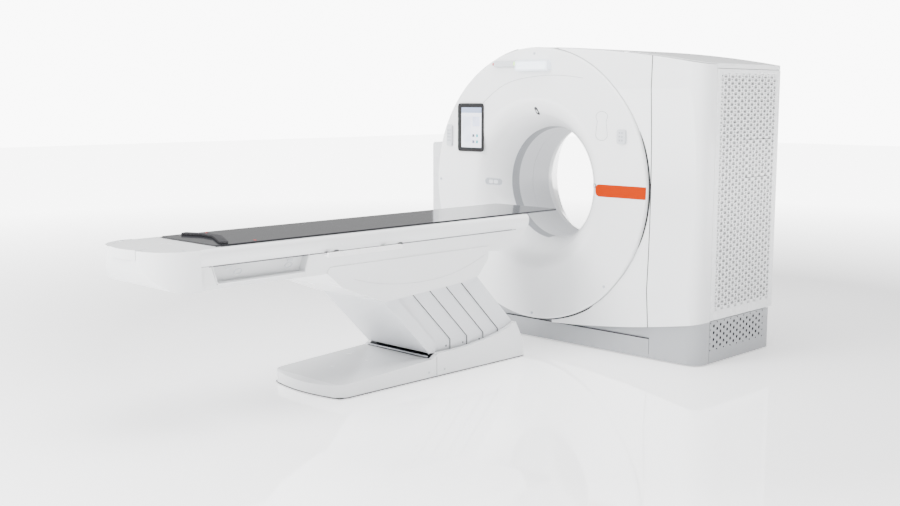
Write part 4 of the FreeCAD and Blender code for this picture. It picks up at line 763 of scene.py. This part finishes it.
class SCANNER_OT_table_details(bpy.types.Operator):
    """Add the strap hook, seams, latches and screws of the patient table, with painted shadows along its
    rails and round its base
    """
    bl_idname = "scanner.table_details"
    bl_label = "Table details"

    def execute(self, context):
        table = context.scene.scanner_table
        # Dark material for the board's black edges and the rail spacers, and painted shadow for the gaps
        # along the rails and round the base.
        dark = finish("black_and_painted_shade", (0.035, 0.035, 0.04), 0.6, depth=0.0)
        # Dark lines for the base's seams, and painted shade along the blades' edges.
        line = finish("seam_and_shade_line", (0.03, 0.03, 0.033), 0.8, depth=0.0)
        cap = finish("cap_grey", (0.55, 0.57, 0.60), 0.35)
        red = finish("mark_red", (0.55, 0.02, 0.02), 0.4)

        outline = [(-0.228, -2.805), (-0.212, -2.841), (-0.100, -2.795), (0.0, -2.801), (0.214, -2.903),
                   (0.236, -2.871), (0.010, -2.757), (-0.104, -2.751)]
        hook = cut_sheet(outline, table.hook_height, "top", BOARD_TOP + table.hook_height / 2, 0.003)
        strap = finish("hook_black", (0.03, 0.03, 0.033), 0.40)
        mount(hook, "strap_hook", strap, "board")
        edges = [flank_block(sign, 0.2440, 0.2458, (-2.925, 0.8412), (-0.520, 0.8494), 0, 0, 0.0003)
                 for sign in (-1, 1)]
        mount(join(edges), "board_edges", dark, "board")
        # Painted shadow: dark strips in the gap beside the board and dark lines under the rails' outer edges.
        lines = [flank_block(sign, 0.2462, 0.2600, (-2.925, 0.8421), (-0.850, 0.8432), 1, 0, 0)
                 for sign in (-1, 1)]
        lines += [bead([(sign * 0.2990, -3.020, 0.7628), (sign * 0.2990, -0.950, 0.7628)], 0.0016, False,
                       "POLY") for sign in (-1, 1)]
        mount(join(lines), "rail_shadow_lines", dark, "carrier")
        marks = [soft_block((x - 0.010, y - 0.004, BOARD_TOP), (x + 0.010, y + 0.004, BOARD_TOP + 0.0008), 2,
                            0.002, 0) for x, y in ((-0.205, -2.700), (0.205, -2.700))]
        mount(join(marks), "board_marks", red, "board")

        # Painted shadow: dark strips under the rails.
        grooves = []
        for sign in (-1, 1):
            grooves.append(flank_block(sign, 0.2703, 0.262, (-3.050, 0.7595), (-0.950, 0.7635), 1, 0, 0.0004))
        mount(join(grooves), "rail_groove_shadows", dark, "carrier")

        latches = []
        for sign in (-1, 1):
            for y in (-2.896, -2.547):
                latches.append(flank_block(sign, 0.268, 0.273, (y - 0.016, 0.738), (y + 0.016, 0.750), 0,
                                           0.004, 0.0008))
        mount(join(latches), "pocket_latches", cap, "carrier")

        lips = []
        for sign in (-1, 1):
            lip = [(sign * 0.2715, y, z) for y, z in (
                (-2.985, 0.7615), (-2.961, 0.680), (-2.950, 0.676), (-2.467, 0.676), (-2.456, 0.680),
                (-2.432, 0.7615))]
            lips.append(bead(lip, 0.0028, False, "POLY"))
        mount(join(lips), "pocket_lips", finish("lip_white", table.body, 0.3), "carrier")

        # Painted shade: dark lines along each blade's front edge and the rear slant's edge stand in for the
        # shade of each step.
        for number in range(1, 5):
            pivot = 1.458 - 0.131 * (number - 1)
            lines = []
            for sign in (-1, 1):
                x = sign * (0.2502 - (5 - number) * 0.003)
                lines.append(bead([(x, -pivot - 0.1026, 0.121), (x, -pivot - 0.1026, 0.185),
                                   (x, -pivot - 0.4800, 0.5624)], 0.0021, False, "POLY"))
            mount(join(lines), f"blade_edge_{number}", line, ("blade_one", "blade_two", "blade_three",
                                                              "blade_four")[number - 1])
        lines = [bead([(sign * 0.2502, -1.048, 0.126), (sign * 0.2502, -1.048, 0.190),
                       (sign * 0.2502, -1.395, 0.537)], 0.0021, False, "POLY") for sign in (-1, 1)]
        mount(join(lines), "rear_slant_edge", line, "rear_slant")
        hooks = []
        for sign in (-1, 1):
            for y in (-2.845, -2.555):
                loop = []
                for step in range(16):
                    turn = math.tau * step / 16
                    loop.append((sign * 0.2680, y + 0.020 * math.cos(turn) + 0.006 * math.sin(turn),
                                 0.722 + 0.012 * math.sin(turn)))
                hooks.append(bead(loop, 0.0026, True, "POLY"))
        mount(join(hooks), "pocket_hooks", cap, "carrier")
        spacers = []
        rail_low, rail_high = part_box("accessory_rails")
        for sign in (-1, 1):
            for y in (-2.27, -1.84):
                spacers.append(flank_block(sign, 0.271, 0.2885, (y - 0.012, rail_low.z + 0.004),
                                           (y + 0.012, rail_high.z - 0.004), 0, 0.002, 0.0004))
        mount(join(spacers), "rail_spacers", dark, "carrier")
        # Painted shadow: a dark line round the base where it meets the floor.
        feet = sorted({(round(v.co.x, 4), round(v.co.y, 4))
                       for name in ("base_cover_front", "base_cover_rear")
                       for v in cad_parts[name].data.vertices if v.co.z < 0.012})
        foot_line = bead([(x, y, 0.0036) for x, y in hull_of(feet)], 0.0026, True, "POLY")
        mount(foot_line, "base_contact_shadow", dark, "floor_body")
        # Painted shadow: a dark pad under the base.
        shadow_pad = soft_block((-0.272, -2.255, 0.0006), (0.272, -0.870, 0.0060), 2, 0.02, 0)
        mount(shadow_pad, "base_shadow_gap", dark, "floor_body")

        base_seams = [bead([(sign * 0.2812, -1.572, z) for z in (0.006, 0.112)], 0.0009, False, "POLY")
                      for sign in (-1, 1)]
        mount(join(base_seams), "base_seams", line, "floor_body")

        caps = []
        for sign in (-1, 1):
            for y in (-1.632, -1.512):
                caps.append(screw_head((sign * 0.281, y, 0.035), 0.006, 0.0022, "side"))
        mount(join(caps), "base_screws", cap, "floor_body")

        # Painted shade: grey lines along the skirt's creases.
        skirt_lines = []
        for sign in (-1, 1):
            crease = [(sign * 0.2745, y, z) for y, z in (
                (-2.150, 0.606), (-2.000, 0.560), (-1.750, 0.530), (-1.400, 0.545), (-1.180, 0.640))]
            skirt_lines.append(bead(crease, 0.0010))
        mount(join(skirt_lines), "skirt_creases", finish("skirt_painted_shade", (0.55, 0.56, 0.58), 0.4), "carrier")
        hinge = soft_block((-0.246, -1.618, 0.112), (0.246, -1.606, 0.117), 0, 0, 0.001)
        mount(hinge, "slant_seal", cap, "floor_body")
        rail_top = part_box("side_rails")[1].z
        foot_caps = [screw_head((sign * 0.270, -3.130, rail_top - 0.0005), 0.009, 0.003, "top")
                     for sign in (-1, 1)]
        mount(join(foot_caps), "foot_caps", cap, "carrier")
        return {"FINISHED"}


class SCANNER_OT_stage(bpy.types.Operator):
    """Lay the pale floor, hang the soft lights and place the camera"""
    bl_idname = "scanner.stage"
    bl_label = "Stage"

    def execute(self, context):
        stage = context.scene.scanner_stage
        start_fresh()
        bpy.ops.mesh.primitive_plane_add(size=60, location=(0, 0, -0.0005))
        floor = bpy.context.object
        floor.name = "floor"
        floor.data.materials.append(finish("floor_white", (0.93, 0.93, 0.94), 0.05, variation=0.0, marks=0.0,
                                           depth=0.0))
        tree = floor.data.materials[0].node_tree
        shader = tree.nodes["Principled BSDF"]
        shader.inputs["IOR"].default_value = 2.0
        shader.inputs["Emission Color"].default_value = (1, 1, 1, 1)
        place = tree.nodes.new("ShaderNodeTexCoord")
        reach = add_node(tree, "ShaderNodeVectorMath", operation="LENGTH")
        tree.links.new(place.outputs["Object"], reach.inputs[0])
        far = maths(tree, "DIVIDE", maths(tree, "SUBTRACT", reach.outputs["Value"], 3.0), 7.0, clamp=True)
        tree.links.new(maths(tree, "MULTIPLY_ADD", far, 6.0, 0.95), shader.inputs["Emission Strength"])
        world = bpy.data.worlds.new("studio")
        world.use_nodes = True
        world.node_tree.nodes["Background"].inputs["Color"].default_value = (1, 1, 1, 1)
        tree = world.node_tree
        rays = tree.nodes.new("ShaderNodeLightPath")
        strength = maths(tree, "MULTIPLY_ADD", rays.outputs["Is Camera Ray"], 9.0, 0.50)
        tree.links.new(strength, tree.nodes["Background"].inputs["Strength"])
        context.scene.world = world
        lights = [("key", (-1.5, -7.5, 5.2), (0.2, -0.6, 0.8), 3.5, 1000),
                  ("fill", (6.5, -4.0, 2.6), (0.3, -1.0, 0.8), 3.0, 110),
                  ("top", (0.5, -1.5, 6.5), (0, -1.0, 0), 4.5, 720)]
        for name, place, target, size, power in lights:
            bpy.ops.object.light_add(type="AREA", location=place)
            lamp = bpy.context.object
            lamp.name = name
            lamp.data.size = size
            lamp.data.energy = power
            lamp.visible_glossy = False
            lamp.rotation_euler = (Vector(target) - Vector(place)).to_track_quat("-Z", "Y").to_euler()
        bpy.ops.object.camera_add(location=stage.camera_place,
                                  rotation=(math.pi / 2 - stage.pitch, 0, stage.heading))
        camera = bpy.context.object
        camera.data.lens = stage.lens
        camera.data.sensor_width = 36
        camera.data.sensor_fit = "HORIZONTAL"
        context.scene.camera = camera
        return {"FINISHED"}


class SCANNER_PT_panel(bpy.types.Panel):
    """Sidebar panel of the scanner's pieces"""
    bl_label = "Scanner"
    bl_idname = "SCANNER_PT_panel"
    bl_space_type = "VIEW_3D"
    bl_region_type = "UI"
    bl_category = "Scanner"

    def draw(self, context):
        layout = self.layout
        for group in ("scanner_covers", "scanner_table", "scanner_stage"):
            settings = getattr(context.scene, group)
            box = layout.box()
            for key in settings.__annotations__:
                box.prop(settings, key)
        for operator in OPERATORS:
            layout.operator(operator.bl_idname)


SETTINGS = {"scanner_covers": CoverSettings, "scanner_table": TableSettings, "scanner_stage": StageSettings}
OPERATORS = (SCANNER_OT_finishes, SCANNER_OT_front_details, SCANNER_OT_bore_details, SCANNER_OT_flank_details,
             SCANNER_OT_table_details, SCANNER_OT_stage)


def register():
    """Registers the classes and the scene's settings."""
    for part in (*SETTINGS.values(), *OPERATORS, SCANNER_PT_panel):
        bpy.utils.register_class(part)
    for name, group in SETTINGS.items():
        setattr(bpy.types.Scene, name, bpy.props.PointerProperty(type=group))


def unregister():
    """Takes them out again."""
    for name in SETTINGS:
        delattr(bpy.types.Scene, name)
    for part in (SCANNER_PT_panel, *reversed(OPERATORS), *SETTINGS.values()):
        bpy.utils.unregister_class(part)


def main():
    """Builds the look."""
    register()
    bpy.ops.scanner.finishes()
    bpy.ops.scanner.front_details()
    bpy.ops.scanner.bore_details()
    bpy.ops.scanner.flank_details()
    bpy.ops.scanner.table_details()
    bpy.ops.scanner.stage()


if __name__ == "__main__":
    main()
